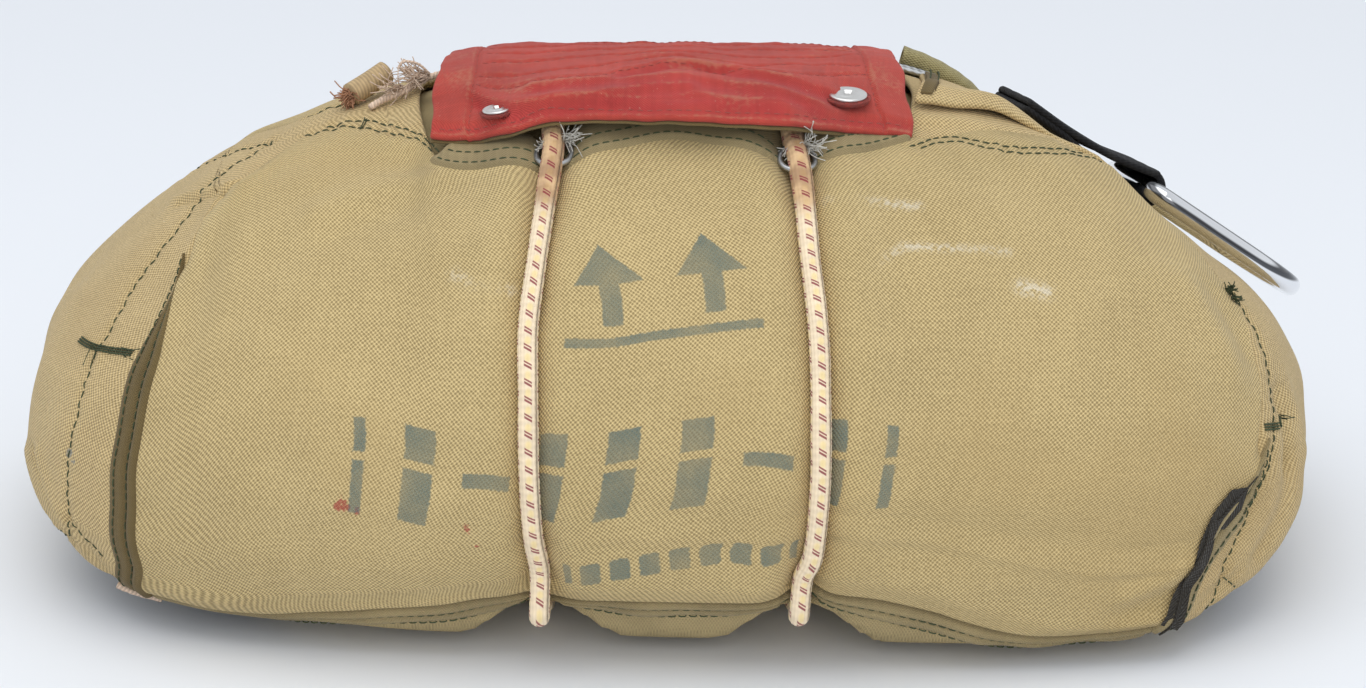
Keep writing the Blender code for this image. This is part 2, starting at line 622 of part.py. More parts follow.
def opening_cord(name, rows, x):
    """A cord from the front eye, down, under the pack and up to the far eye."""
    front = cord_route(rows, np.asarray) + [(x, y, z) for y, z in CORD_TURN]
    far_rows = [row[:3] + above[3:] for above, row in zip(rows, rows[FAR_START:])]
    far = cord_route(far_rows, far_side) + [(x, -y, z) for y, z in CORD_TURN]
    line = through(np.vstack((front, far[::-1])), 10)
    length = np.sum(np.linalg.norm(np.diff(line, axis=0), axis=1))
    return tube(name, even(line, int(length / CORD_POINT_STEP)), CORD_RADIUS, 2, CORD_COVER)


def wire_eye(name, row, mirror):
    """A ring of steel wire that lies on the cloth under its cord."""
    point = full(mirror(row[:3]))
    middle = laid(point)
    normal = Vector(skin_normal(point))
    tilt = normal.to_track_quat("Z", "X").to_matrix()
    points = []
    for turn in np.linspace(0.0, 2.0 * math.pi, EYE_SIDES, endpoint=False):
        flat = Vector((EYE_RADIUS * math.cos(turn), EYE_RADIUS * math.sin(turn), EYE_HEIGHT))
        points.append(Vector(middle) + tilt @ flat)
    return tube(name, points, EYE_WIRE, 1, STEEL, closed=True)


def flap_grid():
    """Skin points under the red flap, and the flap's height over each."""
    along = np.linspace(FLAP[0, 0], FLAP[-1, 0], RED_COLUMNS)
    front_y, far_x, front, middle, far = [np.interp(along, FLAP[:, 0], column)
                                          for column in FLAP.T[1:]]
    share = np.linspace(0.0, 1.0, RED_ROWS)[:, None]
    across = along + (far_x - along) * share
    deep = front_y + (FLAP_FAR - front_y) * share
    height = front + (middle - front) * ease(2.5 * share)
    height = height + (far - middle) * ease(2.0 * share - 1.0)
    return above(across, deep), height


def ripcord_flap():
    """The red quilted flap over the ripcord, standing off where the cords run in under it."""
    grid, height = flap_grid()
    return sheet("ripcord_flap", grid, height, height + FLAP_THICKNESS, RED_CLOTH)


def snap(name, x, y):
    """A snap cap: a low dome with a clinched middle, standing on the red flap."""
    grid, height = flap_grid()
    grid = laid(grid)
    top = grid + grid_normals(grid) * (height + FLAP_THICKNESS)[..., None]
    flat = top.reshape(-1, 3)
    nearest = flat[np.argsort(np.hypot(flat[:, 0] - x, flat[:, 1] - y))[:6]]
    middle = nearest.mean(axis=0)
    normal = Vector(np.linalg.svd(nearest - middle)[2][2])
    if normal.z < 0.0:
        normal.negate()
    spread = np.max(np.abs((nearest - middle) @ np.array(normal)))
    seat = np.array((x, y, middle[2] - (normal.x * (x - middle[0])
                                        + normal.y * (y - middle[1])) / normal.z))
    turns = [2.0 * math.pi * index / SNAP_SIDES for index in range(SNAP_SIDES)]
    rings = [[(radius * math.cos(turn), radius * math.sin(turn), rise) for turn in turns]
             for radius, rise in SNAP_PROFILE]
    made = rings_object(name, np.array(rings), NICKEL)
    made.location = Vector(seat) + normal * (spread + 2.0 * GAP)
    made.rotation_euler = normal.to_track_quat("Z", "X").to_euler()
    return made


# ---------------------------------------------------------------- webbing and D-ring
def ring_frame():
    """Rotation of the D-ring: X along its reach, Y along its bar."""
    slope = Matrix.Rotation(RING_SLOPE, 3, "Y")
    return slope @ Matrix.Rotation(-RING_ROLL, 3, "X")


def d_ring():
    """A ring of round bar, straight in the webbing and bowed outside it."""
    half = RING_WIDTH / 2
    turns = np.radians((22.5, 45.0, 67.5, 90.0))
    corner = [(RING_BEND * (1.0 - math.cos(turn)), half - RING_BEND * (1.0 - math.sin(turn)))
              for turn in turns]
    bow = [(RING_REACH - half + half * math.sin(turn), half * math.cos(turn))
           for turn in np.linspace(0.0, math.pi, 15)]
    bar = [(0.0, y) for y in np.linspace(RING_BEND - half, half - RING_BEND, 5)]
    outline = bar + corner + bow + [(x, -y) for x, y in corner[::-1]]
    turned = ring_frame()
    placed = [Vector(RING_BAR) + turned @ Vector((x, y, 0.0)) for x, y in outline]
    return tube("d_ring", placed, RING_STOCK, 3, CHROME, closed=True)


def strap():
    """Black webbing looped round the D-ring's bar, its two layers sewn up the pack's slope."""
    inner = RING_STOCK + STRAP_CLEAR
    outer = inner + STRAP_THICKNESS
    turns = np.linspace(0.0, math.pi, 11)
    section = [(-back, upper + STRAP_THICKNESS) for back, lower, upper in STRAP_TAIL]
    section += [(outer * math.sin(turn), outer * math.cos(turn)) for turn in turns]
    section += [(-back, lower) for back, lower, upper in STRAP_TAIL[::-1]]
    section += [(-back, lower + STRAP_THICKNESS) for back, lower, upper in STRAP_TAIL]
    section += [(inner * math.sin(turn), inner * math.cos(turn)) for turn in turns[::-1]]
    section += [(-back, upper) for back, lower, upper in STRAP_TAIL[::-1]]
    turned = ring_frame()
    rings = [[Vector(RING_BAR) + turned @ Vector((x, y, z)) for x, z in section]
             for y in (-STRAP_WIDTH / 2, STRAP_WIDTH / 2)]
    return rings_object("strap_webbing", np.array(rings), WEBBING)


# ---------------------------------------------------------------- small pieces on the top
def edge_roll():
    """The far flap's rolled edge beside the red flap: a hollow at its left end shows."""
    rows = even(through(ROLL, 12), 9)
    hollow = rows[:int(len(rows) * ROLL_DEPTH)][::-1]
    rings = []
    for wall, part in ((ROLL_WALL, hollow), (0.0, rows)):
        for x, y, wide, tall in part:
            middle, outward = over_skin(x, y, tall + LAYER_GAP)
            across = np.cross(outward, (1.0, 0.0, 0.0))
            across /= np.linalg.norm(across)
            angles = np.linspace(0.0, 2.0 * math.pi, 16, endpoint=False)[:, None]
            rings.append(middle + (wide - wall) * np.cos(angles) * across
                         + (tall - wall) * np.sin(angles) * outward)
    return rings_object("edge_roll", np.array(rings), CANVAS)


def corner_fold():
    """The folded corner of the right end flap, one more layer on the skin."""
    near, far = [smooth_line(full(line), 11) for line in (CORNER_FRONT, CORNER_FAR)]
    grid = on_skin(np.stack((near, (near + far) / 2, far)))
    return sheet("corner_fold", grid, LAYER_GAP, LAYER_GAP + CLOTH, CANVAS)


def over_skin(x, y, height):
    """A point at a height over the top of the pack, and the direction out of it."""
    point = full((x, y, TOP_HEIGHT))
    outward = skin_normal(point)
    return laid(point) + outward * height, outward


def small_tube(name, rows, radius, kind, count):
    """A short tube that follows the top of the pack."""
    points = [over_skin(*row)[0] for row in rows]
    return tube(name, smooth_line(points, count), radius, 2, kind)


# ---------------------------------------------------------------- the whole object
def build():
    for old in list(bpy.data.objects):
        bpy.data.objects.remove(old)
    pack_body()
    side_flap("front_flap", np.asarray)
    side_flap("far_flap", far_side)
    end_flap("end_flap_left", -1, FRONT_LEFT, END_LEFT_BOTTOM, (0.30, 0.62))
    end_flap("end_flap_right", 1, FRONT_RIGHT, END_RIGHT_BOTTOM, (0.25, 0.45))
    top_binding("top_binding_front", np.asarray)
    top_binding("top_binding_far", far_side)
    bottom_flange("flange_front", np.asarray)
    bottom_flange("flange_far", far_side)
    for side, rows, turn in (("left", CORD_LEFT, TURN_LEFT), ("right", CORD_RIGHT, TURN_RIGHT)):
        opening_cord("cord_" + side, rows, turn)
        wire_eye("eye_" + side + "_front", rows[EYE_ROW], np.asarray)
        wire_eye("eye_" + side + "_far", rows[EYE_ROW + FAR_START], far_side)
    ripcord_flap()
    for name, x, y in SNAPS:
        snap(name, x, y)
    strap()
    d_ring()
    edge_roll()
    corner_fold()
    small_tube("cord_stub", STUB_ROUTE, STUB_RADIUS, CORD_COVER, 4)
    small_tube("twine_tie", TWINE_ROUTE, TWINE_RADIUS, TWINE, 12)
    small_tube("ripcord_wire", RIPCORD_ROUTE, RIPCORD_RADIUS, STEEL, 5)


build()
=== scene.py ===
"""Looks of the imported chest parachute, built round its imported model. Metres, +X to the D-ring end,
-Y to the front, +Z up. Tables are in millimetres, and mm() turns them into metres."""
import functools
import math

import bpy
import numpy as np
from mathutils import Matrix, Vector
from mathutils.bvhtree import BVHTree


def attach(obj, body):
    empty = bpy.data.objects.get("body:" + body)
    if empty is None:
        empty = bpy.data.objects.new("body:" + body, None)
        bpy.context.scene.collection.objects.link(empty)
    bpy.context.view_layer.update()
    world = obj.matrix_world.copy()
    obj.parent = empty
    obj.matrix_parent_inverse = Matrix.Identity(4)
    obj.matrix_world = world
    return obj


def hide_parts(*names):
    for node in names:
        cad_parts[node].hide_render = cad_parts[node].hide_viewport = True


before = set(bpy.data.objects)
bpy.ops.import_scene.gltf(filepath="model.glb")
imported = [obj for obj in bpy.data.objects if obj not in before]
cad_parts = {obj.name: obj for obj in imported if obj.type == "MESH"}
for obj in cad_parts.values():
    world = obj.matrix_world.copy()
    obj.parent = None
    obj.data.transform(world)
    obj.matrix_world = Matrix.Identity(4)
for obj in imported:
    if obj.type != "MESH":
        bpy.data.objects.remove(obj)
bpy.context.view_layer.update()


def mm(rows):
    return np.asarray(rows, float) / 1000.0


# ---------------------------------------------------------------- sizes
FULL_TURN = 2.0 * math.pi
YARN_PITCH = 0.00136      # of the canvas, and of the finer cloth under it
FINE_PITCH = 0.00095
CLOTH = 0.0020
CORD_RADIUS = 0.0030
SHEATH_SINK = 0.0026      # how deep a cord lies in the cloth
BRAID_TURNS = 8.0         # strands each way round a cord
BRAID_RUN = 1400.0        # and their turn in a metre
FLECK_STEP = 0.00245      # half the repeat of its flecks
CORD_STEP = 0.0007
GROOVE_DEPTH = 0.0046     # a cord's groove in the cloth, and the swell beside it
GROOVE_WIDTH = 0.0052
SWELL_HEIGHT = 0.0019
SWELL_PLACE = 0.0125
SWELL_WIDTH = 0.0075
PUCKER_DEPTH = 0.0006     # a seam's line, and the puckers along it
PUCKER_HEIGHT = 0.0003
PUCKER_WIDTH = 0.0055
EYE_RADIUS = 0.0052
EYE_WIRE = 0.0009
RING_STOCK = 0.0032
RING_WIDTH = 0.0540
RING_REACH = 0.0620
RING_BAR = mm((147, 28.3, 109.5))
RING_BEND = 0.0080
RING_SLOPE = math.radians(34.5)
RING_ROLL = math.radians(13.5)
STRAP_WIDTH = 0.0430
STRAP_THICKNESS = 0.0022
STRAP_CLEAR = 0.0008
# Where the webbing's two layers lie behind the bar: distance back, lower face, upper layer's face.
STRAP_TAIL = mm(((46, -1.8, 0.6), (30, -2.4, 0.2), (14, -5.2, 1.2)))
TWINE_RADIUS = 0.0011
STUB_RADIUS = 0.0036
FLAP_THICKNESS = 0.0028
FLAP_FAR = 0.0345
FLAP_DEPTH = 0.0846       # over the cloth, front to far edge
FLAP_THREAD = 0.00018
FLAP_ROWS = 166
FLAP_COLUMNS = 264
FLAP_PITCH = 0.0026       # its quilting stitches; its hems' are longer
FLAP_HEM_PITCH = 0.0028

STITCH = 0.0031           # pitch, visible length and radius of a stitch
DASH = 0.0022
THREAD = 0.00024
STITCH_SHARES = np.array((0.0, 0.18, 0.5, 0.82, 1.0))    # where a stitch's five points lie

PANEL_ROWS = 144
PANEL_COLUMNS = 280
PANEL_PROUD = 0.0012      # side panels stand this far over the skin
PANEL_FOOT = 0.0024       # a side panel's turned foot bulges this far below its edge line
JOIN_DEPTH = 0.0030       # how far a joined edge dips into its neighbour
JOIN_START = 0.004        # a join starts this far under its slit's top
JOIN_LENGTH = 0.010
END_PANEL_ROWS = 150
END_PANEL_COLUMNS = 176
END_PANEL_TIP = 0.0640
HEM_ENDS = (-0.0700, 0.0722)
HEM_COLUMNS = 240
TAPE_ROWS = 420
FOOT_COLUMNS = 460
FOLD_ROWS = 46
FOLD_COLUMNS = 160
TAPE_SPAN = 0.0100
TAPE_TAPER = {-1: (0.082, 0.1085), 1: (0.044, 0.0600)}   # heights over which a tape narrows away
# A side tape's section: distance from the slit, height over the skin.
TAPE_PROFILE = mm((
    (-0.2, -2), (-0.2, 0), (0.3, 1.2), (1.1, 2), (1.9, 2.2), (2.8, 1.9), (3.5, 1.1), (4.1, 0.3),
    (4.6, 0.3), (5.2, 0.9), (6.4, 1.1), (7.8, 1), (8.6, 0.6), (9.3, 0.8), (10, 0.5),
))
TAPE_STITCHES = mm(((4.4, 0.4), (8.8, 0.8)))
# The same for the binding along the foot: drop below the panel's edge, height over the skin.
FOOT_PROFILE = mm((
    (-1.2, -1.4), (-0.4, 0.2), (0.4, 1.1), (1.2, 1.4), (1.8, 1.1), (2.2, 0.5), (2.6, 0.4),
    (3, 0.9), (4, 1.1), (5, 0.9), (5.6, 0.3), (6, -0.6),
))
FOOT_STITCHES = mm(((2.4, 0.5), (5.4, 0.7)))
# And for the bound top edge of a side panel.
HEM_PROFILE = mm((
    (-1.4, 1.6), (-1, 2.2), (-0.3, 2.3), (1.2, 2.2), (3, 2.2), (5, 2), (8, 1.7), (10.5, 1.2),
    (12, 0.4),
))
HEM_STITCHES = mm(((0, 2.3), (4.3, 2.1)))
ROLL_WALL = 0.0014
BAND_RISE = 0.0009        # tape on the folded corner
PAD_SIDES = 180
CAST_START = 0.012        # height over the skin from which the finished cloth is felt for
CAST_REACH = 0.020
CORNER_FRONT = mm((
    (75, -18, 146.4), (85, -16, 144.7), (93, -13.7, 142.9), (103.9, -12.2, 139.6),
    (113, -12, 136.2), (122.1, -11.5, 132.6), (130.5, -11.5, 128.8), (139.2, -14, 123.5),
    (147.8, -16, 118),
))
CORNER_FAR = mm((
    (80, 17, 146.2), (90, 16.5, 144), (102, 10, 140.5), (111, 2, 137), (120, -2.5, 133.5),
    (130.5, -6, 129), (140, -10, 123), (147.8, -13, 118),
))
TOP_HEIGHT = 0.145        # rough height of points on the top
HEART = mm((0, 0, 55))    # inside point that the skin is measured from

# Level sections of the filled pack: height, left end, right end, front, far side, squareness.
SECTIONS = np.column_stack((mm((
    (0, -140, 138, -72, 78), (4, -164, 159, -89, 92), (10, -179, 174, -97, 99),
    (20, -190, 188, -102, 105), (40, -198.5, 198, -109, 110), (60, -196, 198, -109, 110),
    (80, -187, 190, -103, 105), (100, -168, 170, -92, 96), (120, -142, 144, -75, 82),
    (135, -113, 116, -57, 66), (145, -85, 91, -40, 50), (151, -58, 64, -25, 34), (154, 0, 1, 4, 6),
)), (3.2, 5.6, 5.2, 4.1, 3.1, 2.8, 2.6, 2.4, 2.3, 2.2, 2.1, 2.0, 2.0)))
SECTION_STEPS = 16        # samples between two rows
LINE_STEPS = 12
PROBE = 0.004             # step that a direction on the skin is measured over

# Hollows pressed into the skin, or swells where the depth is negative: centre, half width, half
# length up the pack, depth. The cords' pinches, a tuck, the webbing's seat and the swell beside
# it, the hollow under the ring, the open corner and the red flap's seat.
HOLLOWS = mm((
    (-37, -102, 18, 15, 30, 5), (40, -104, 18, 15, 30, 4.5), (-37, 102, 18, 17.5, 30, 6.6),
    (40, 104, 18, 15, 30, 4.5), (-69, -38, 140, 18, 25, 3), (142, 35, 113, 48, 33.5, 28.5),
    (120, -13, 131, 38, 19, -6.5), (190, 34, 78, 30, 36, 6), (172, -93, 24, 12, 30, 4),
    (0, 34, 150, 70, 30, 4.5),
))
CORNER_LEAN = 0.055       # the right front corner is pulled forward, the left one back
LEAN_HEIGHT = 0.090
LEAN_DEPTH = 0.060
CORNER_LIFT = 0.006       # the left front corner stands off the surface
LIFT_START = 0.060
LIFT_LENGTH = 0.100
LIFT_HEIGHT = 0.050

# Edges of the front flap, as points near the skin.
FRONT_BOTTOM = mm((
    (-158, -78, 12), (-138.5, -81.5, 11.5), (-122.7, -84.6, 10.6), (-98.8, -92.8, 14.5),
    (-65.6, -97.9, 18.7), (-41.6, -97.7, 23.8), (-34.9, -97.2, 23.6), (-12.6, -102.9, 24.3),
    (20.8, -104.1, 25.1), (39, -102.5, 27.2), (45.7, -103.7, 27.5), (69.3, -105.5, 22.2),
    (99.4, -102.5, 12.5), (114.8, -100.6, 10.2), (148, -100, 10),
))
FRONT_LEFT = mm((
    (-158, -78, 12), (-156, -83, 27), (-154.5, -83, 54), (-150, -75, 79), (-145.5, -60, 96),
    (-140, -30, 115), (-135, -20, 121),
))
FRONT_TOP = mm((
    (-135, -20, 121), (-125, -18, 128), (-110, -6, 136), (-94.5, -9, 141.5), (-76, -25, 143.5),
    (-66.5, -40, 139), (-35, -48, 139), (-19, -44.5, 142), (2, -39.4, 145.3), (19, -42, 144),
    (37, -47, 140), (55, -42, 140.7), (71.5, -33, 142), (88.5, -23, 141.5), (100.6, -19, 139),
    (126, -10, 131), (135.2, -9, 126.5),
))
FRONT_RIGHT = mm((
    (148, -100, 10), (154, -96, 29), (164, -88, 42), (176.6, -73, 55), (180.6, -49, 78),
    (176.5, -32, 90), (162, -13, 107), (147.7, -8, 119), (135.2, -9, 126.5),
))
# The same edge of the cloth, which is pulled back from its tape in two scallops, low down.
PANEL_RIGHT = mm((
    (148, -100, 10), (152, -95, 16), (153.2, -95.5, 23), (153.4, -96.1, 28.5),
    (155.6, -95.5, 30.3), (158.3, -93.7, 32), (158.6, -93, 37.5), (161.8, -90.5, 39.8),
    (166.2, -86.6, 42.5), (170, -81.8, 47), (174.5, -75.9, 52.4), (177.5, -69, 59),
    (180.6, -49, 78), (176.5, -32, 90), (162, -13, 107), (147.7, -8, 119), (135.2, -9, 126.5),
))
# The open part of the right slit, filled by a sheet of painted shade: height, then both edges as
# distances from the tape's line.
GAP_EDGES = mm((
    (11, 3.3, 3.5), (14, 3.1, 3.4), (17, 2.8, 3.4), (20, 2.4, 3.4), (22.5, 2, 3.5), (24, 1.6, 3.8),
    (25.6, 0.9, 4.2), (27.2, 0.1, 4.6), (28.8, -0.3, 4.8), (30.5, -0.4, 4.6), (31.8, -0.3, 4.1),
    (33, 0.1, 3.6), (34.4, 0.6, 2.9), (35.6, 0.4, 2.4), (37, -0.2, 2), (38.4, -1.4, 1.4),
    (39.5, -2.5, 1.1), (40.4, -2.9, 0.9), (41.3, -2.2, 0.7), (42, -0.4, 0.6), (43.2, 0.1, 0.5),
    (47, 0.2, 0.5), (52, 0.3, 0.4),
))
GAP_LIFT = 0.0026
# Depth of the bound seam below the front flap: x, depth. The cords pinch it.
FLANGE_DEPTH = mm((
    (-158, 5.5), (-50, 5.5), (-43.5, 3), (-41.5, 0.8), (-32, 0.8), (-30, 3), (-15, 5.5), (1, 6.2),
    (20, 5.5), (34, 3), (36, 0.8), (45, 0.8), (48, 3), (60, 5.5), (148, 5.5),
))
FLANGE_FULL = 0.0055
# Lower edges of the end flaps, from the front corner round to the far one.
END_LEFT_BOTTOM = mm((
    (-165, -82, 12), (-185, -60, 15), (-192, 0, 17), (-185, 62, 15), (-165, 85, 12)))
END_RIGHT_BOTTOM = mm((
    (157, -100, 10), (180, -72, 14), (190, 0, 17), (181, 64, 15), (160, 88, 12)))
SLIT_TOPS = {-1: 0.106, 1: 0.056}     # heights at which the tapes disappear into the seams

# The cords, down the front of the pack: x, y, z near the skin, then the rise over the wire eye.
CORDS = {
    "left": mm((
        (-33, -38, 145, 3.2), (-32.5, -45, 141, 3.2), (-34.5, -59, 132, 0.8), (-37, -76, 118, 0),
        (-38.8, -88, 103, 0), (-39.2, -99, 88, 0), (-39, -107, 66, 0), (-38.5, -108, 46, 0),
        (-37.8, -106, 32, 0))),
    "right": mm((
        (38, -40, 144, 3.2), (39.2, -46.7, 140, 3.2), (41, -57.9, 132.8, 1), (42.6, -74, 119.5, 0),
        (44.4, -90, 100, 0), (45.1, -103.8, 76.4, 0), (45, -109, 60, 0), (44, -110, 40.9, 0),
        (42, -109, 32, 0))),
}
# Where a cord turns under the pack: y and z of its middle, from the front to the flat stretch.
CORD_TURN = mm(((-106.2, 20.8), (-98.5, 18.6), (-83, 14), (-68, 8.6), (-52, 3.8)))
TURNS = {"left": -0.0364, "right": 0.0394}    # how far along the pack each cord turns
EYE_ROW = 1               # row of a cord's table that crosses the front wire eye
FAR_START = 2             # a cord's far end starts this many rows lower, clear of the red flap

# The red flap: x and y under its front edge, x under its far edge, then its height over the skin
# at its front edge, at its middle and at its far edge.
FLAP = mm((
    (-68.5, -28.8, -64, 2.2, 4, 3), (-54, -35.2, -50.1, 3.4, 4.8, 3),
    (-44.2, -39.7, -40.9, 8.5, 5.2, 3), (-38.3, -40, -35.2, 11.2, 5.6, 3),
    (-31.2, -40.2, -28.7, 12, 5.8, 3), (-4.1, -40.8, -3.7, 10, 5.8, 3),
    (24.7, -41.9, 22.7, 10.8, 5.8, 3), (36.1, -43, 33.8, 12, 5.8, 3),
    (44.8, -40.1, 41.7, 8.5, 5.2, 3), (54.3, -36.6, 50.1, 4.6, 4.8, 3),
    (72.2, -32.7, 66.5, 2.4, 4, 3),
))
# Stitching on the red flap: x along its front edge, and the thousandths of the way to its far edge.
QUILT_ROWS = [mm(rows) for rows in (
    ((-57, 250), (-40, 190), (-22.5, 170), (-11.5, 230), (3.1, 320), (16.9, 270), (28.8, 260),
     (38.1, 230), (62.2, 310)),
    ((-57, 310), (-41.4, 300), (-23.1, 300), (-9.6, 390), (3.1, 430), (13, 380), (26, 330),
     (38.9, 360), (62.2, 380)),
    ((-57, 420), (-42.6, 440), (-31, 440), (-16.6, 470), (0, 490), (20, 460), (34.7, 460),
     (62.2, 520)),
    ((-57, 550), (0, 580), (62.2, 600)), ((-57, 660), (0, 680), (62.2, 690)),
    ((-57, 770), (0, 780), (62.2, 780)), ((-57, 870), (0, 870), (62.2, 870)),
    ((-57, 960), (0, 960), (62.2, 960)),
)]
# Its two end hems in the same terms, front edge first, and its creases with their ridges' heights.
HEM_LINES = [mm(rows) for rows in (
    ((-57.2, 0), (-56.9, 70), (-57.2, 230), (-57.5, 370), (-58.9, 580), (-59.2, 1000)),
    ((65, 0), (62.8, 90), (62.3, 220), (62, 370), (62.3, 640), (62.2, 1000)),
)]
RED_CREASES = [(mm(rows), lift) for rows, lift in (
    (((-18, 190), (-11, 240), (0.3, 315), (7.3, 330), (16.1, 305), (24.3, 260), (35, 210),
      (42, 180), (48, 160), (54, 150)), 0.0013),
    (((-43, 170), (-30, 160), (-22.3, 155), (-14.4, 160), (-6.7, 155), (0.3, 175), (6.2, 180),
      (16.7, 160), (26.2, 140), (36.7, 120), (43.7, 85), (50, 70)), 0.0011),
    (((-60, 240), (-56.7, 210), (-49.6, 140), (-40.9, 70), (-34.4, 45), (-25.9, 60), (-15.5, 85),
      (-4.5, 120), (3.4, 135), (12, 130)), 0.0014),
    (((-20, 60), (-8.7, 70), (3.4, 90), (8.8, 100), (18.9, 80), (27.9, 80), (38.9, 70)), 0.0007),
)]
# Caps and washers of the snaps: radius and rise of each ring from the outside in.
SNAP_CAP = mm((
    (5.4, -0.6), (5.8, 0.1), (5.9, 0.5), (5.6, 0.8), (5, 0.9), (4.4, 0.7), (3.8, 0.6), (3.2, 0.8),
    (2.6, 1.1), (2.2, 1), (1.8, 0.4), (1.3, 0.1), (0.5, 0.1),
))
SNAP_WASHER = mm(((6.6, -1), (7, -0.2), (7.1, 0.2), (6.8, 0.4), (5, 0.4)))
STAR_RADIUS = 0.0034

# Small pieces beside the red flap: x, y near the skin and the height of their middles over it.
STUB_ROUTE = mm(((-85, 10, 6), (-91, 6, 5), (-98.5, 1, 4.5)))
TWINE_ROUTE = mm((
    (-56, 6, 2), (-64, 7, 2), (-71.5, 4.5, 2), (-76, 0, 1.9), (-81, -2.5, 1.9), (-86, -4, 1.9),
    (-91.5, -7.5, 1.9),
))
TWINE_LOOP = mm((
    (-70, 3, 3), (-74.5, 2, 6), (-77.5, 1, 8.5), (-75.5, 1.5, 10), (-71.5, 3, 7.5), (-69, 4, 3.5)))
RIPCORD_ROUTE = mm(((64, 22.5, 1.6), (74, 22.5, 1.9), (86, 22.5, 2.2)))
SCRAP_ROUTE = mm(((-156, -64.5, 16), (-150, -70, 11)))

# Rolled edge of the far flap: x, y near the skin, radius across, radius up.
ROLL = mm((
    (74.5, 33, 7.2, 5.4), (86, 32, 7.2, 4.8), (100, 29, 6.8, 3.8), (109, 26.5, 5.6, 2.8),
    (119, 24.5, 5, 1.8),
))
ROLL_RISE = 0.0010
ROLL_RINGS = 60
ROLL_INSIDE = 40          # rings of its inner face
ROLL_SIDES = 56

# Folds of the cloth: both ends, half width, height. The top and the panels' creases come first,
# then the left end's tucks and hollow, then the right end's long fold, its ridge and its pinch.
FOLDS = mm((
    (-115.8, -22.6, 130.4, -74, -37.5, 138, 7.5, -1.6),
    (-103.4, -48.4, 124.2, -70, -44, 136, 5.5, 1.5), (-95, -57.4, 121.3, -64, -51.5, 133, 6, -1),
    (-127.8, -26.4, 123.7, -137.3, -39, 114.7, 6, 1.6), (-139, -45, 108, -148, -64, 90, 5.5, 1),
    (-120.8, -74.2, 96.7, -95, -94, 82, 4, 0.6),
    (164.9, -41.4, 97.2, 174.5, -52.5, 82.3, 5.5, -1.6),
    (157, -47, 100, 169, -64, 79, 6, 1), (156, -95, 31.2, 135, -103, 23.5, 3, 1.4),
    (154, -96, 24.5, 133, -102, 16.5, 4, -1.2), (150, -97, 15, 132, -101, 12, 3, 0.8),
    (-30, -106, 26, 30, -108, 26, 10, 1.8), (-70, -102, 23, -48, -105, 30, 5, -0.8),
    (56, -106, 30, 80, -104, 22, 5, -0.8), (-30, -52, 137, -15, -62, 133, 4, 0.8),
    (48, -56, 134, 64, -48, 138, 4.5, 0.8), (76, -26.5, 143, 124, -16, 132.5, 3, -0.8),
    (78, -22.5, 144, 116, -17, 135.5, 3.2, 1.2), (-193.2, -42.5, 45, -180, -60, 24, 3, -2.2),
    (-194.5, -33, 42, -186, -48, 23, 3, 1.6), (-190, -50, 48, -177, -64, 28, 3, 1.4),
    (-176, -64, 28, -168, -70, 17, 2.6, -1.6), (-185, -38, 84, -169, -56, 83, 2.6, 1.2),
    (-150, -8, 114, -131, -22.5, 123.5, 2.2, 1.3), (-148, -13, 115, -132, -25, 121.5, 1.2, -1),
    (186, -52, 68, 188.5, -60, 50, 4, -3), (188.5, -60, 50, 179, -76, 25, 4, -2.6),
    (190, -43, 72, 195, -48, 48, 4, 0.6), (195, -48, 48, 185, -66, 26, 4, 0.8),
    (182, -56, 64, 190, -50, 62.5, 2.2, -1.2), (170, -86, 20, 160, -90, 15, 2.8, -1.4),
))

# Rows of stitching as points near the skin: the top's left end, the left end panel and its split
# foot, then the same on the right.
SEAMS = [mm(rows) for rows in (
    ((-104.1, -7.8, 137.9), (-93.4, -10.4, 141.3), (-87.7, -13.8, 142.4), (-77.9, -22, 143),
     (-72.7, -28.1, 142.3), (-68.1, -35.5, 140.3)),
    ((-111, -7.1, 135.3), (-102, -10.3, 138.3), (-94, -13.8, 140.5), (-84, -20.8, 141.8),
     (-75.1, -27.6, 141.9), (-70, -35, 140.3)),
    ((-120.4, 2.7, 131.7), (-123.8, -2, 130), (-133, -8.5, 124.4), (-137.5, -12.5, 121.7),
     (-144.8, -23.3, 115), (-152.2, -31.5, 107.3), (-159.8, -39.6, 98.3), (-164.9, -47.6, 90.5),
     (-171.4, -56.4, 78.5), (-175.4, -62.3, 66.3), (-177.6, -64.5, 53.7), (-178.7, -65.8, 33.6)),
    ((-178.7, -65.8, 33.6), (-173, -69, 28), (-167.1, -72.4, 24.4)),
    ((-178.7, -65.8, 33.6), (-180, -63, 27), (-180.8, -54.7, 22.8)),
    ((-180.8, -54.7, 22.8), (-185, -49, 22.5), (-188, -43, 23.5)),
    ((71.6, -37.2, 140.2), (77.2, -33.3, 140.7), (81.4, -29.9, 141.1), (87.6, -28.3, 140.2),
     (92.9, -28.5, 138.6), (102.8, -27, 136.1), (113, -22.1, 134), (125.6, -14.2, 130.7)),
    ((75, -36.9, 139.6), (81.5, -32.6, 140.1), (87.7, -30.6, 139.5), (93.8, -30.6, 137.6),
     (104.6, -28.6, 135), (117.5, -21.9, 132.2), (132.1, -13, 127.6)),
    ((173.5, -30, 94.5), (180.2, -42.4, 82.8), (182.5, -55.2, 70.8), (181.6, -65.7, 59.3),
     (179.7, -70.6, 52.4), (176.2, -78.4, 42.8), (170.3, -86.2, 26.8), (168.9, -86, 22.1)),
    ((168.9, -86, 22.1), (164, -85, 16), (159.9, -83.5, 10.7)),
    ((168.9, -86, 22.1), (171.8, -77.7, 15.2)),
)]
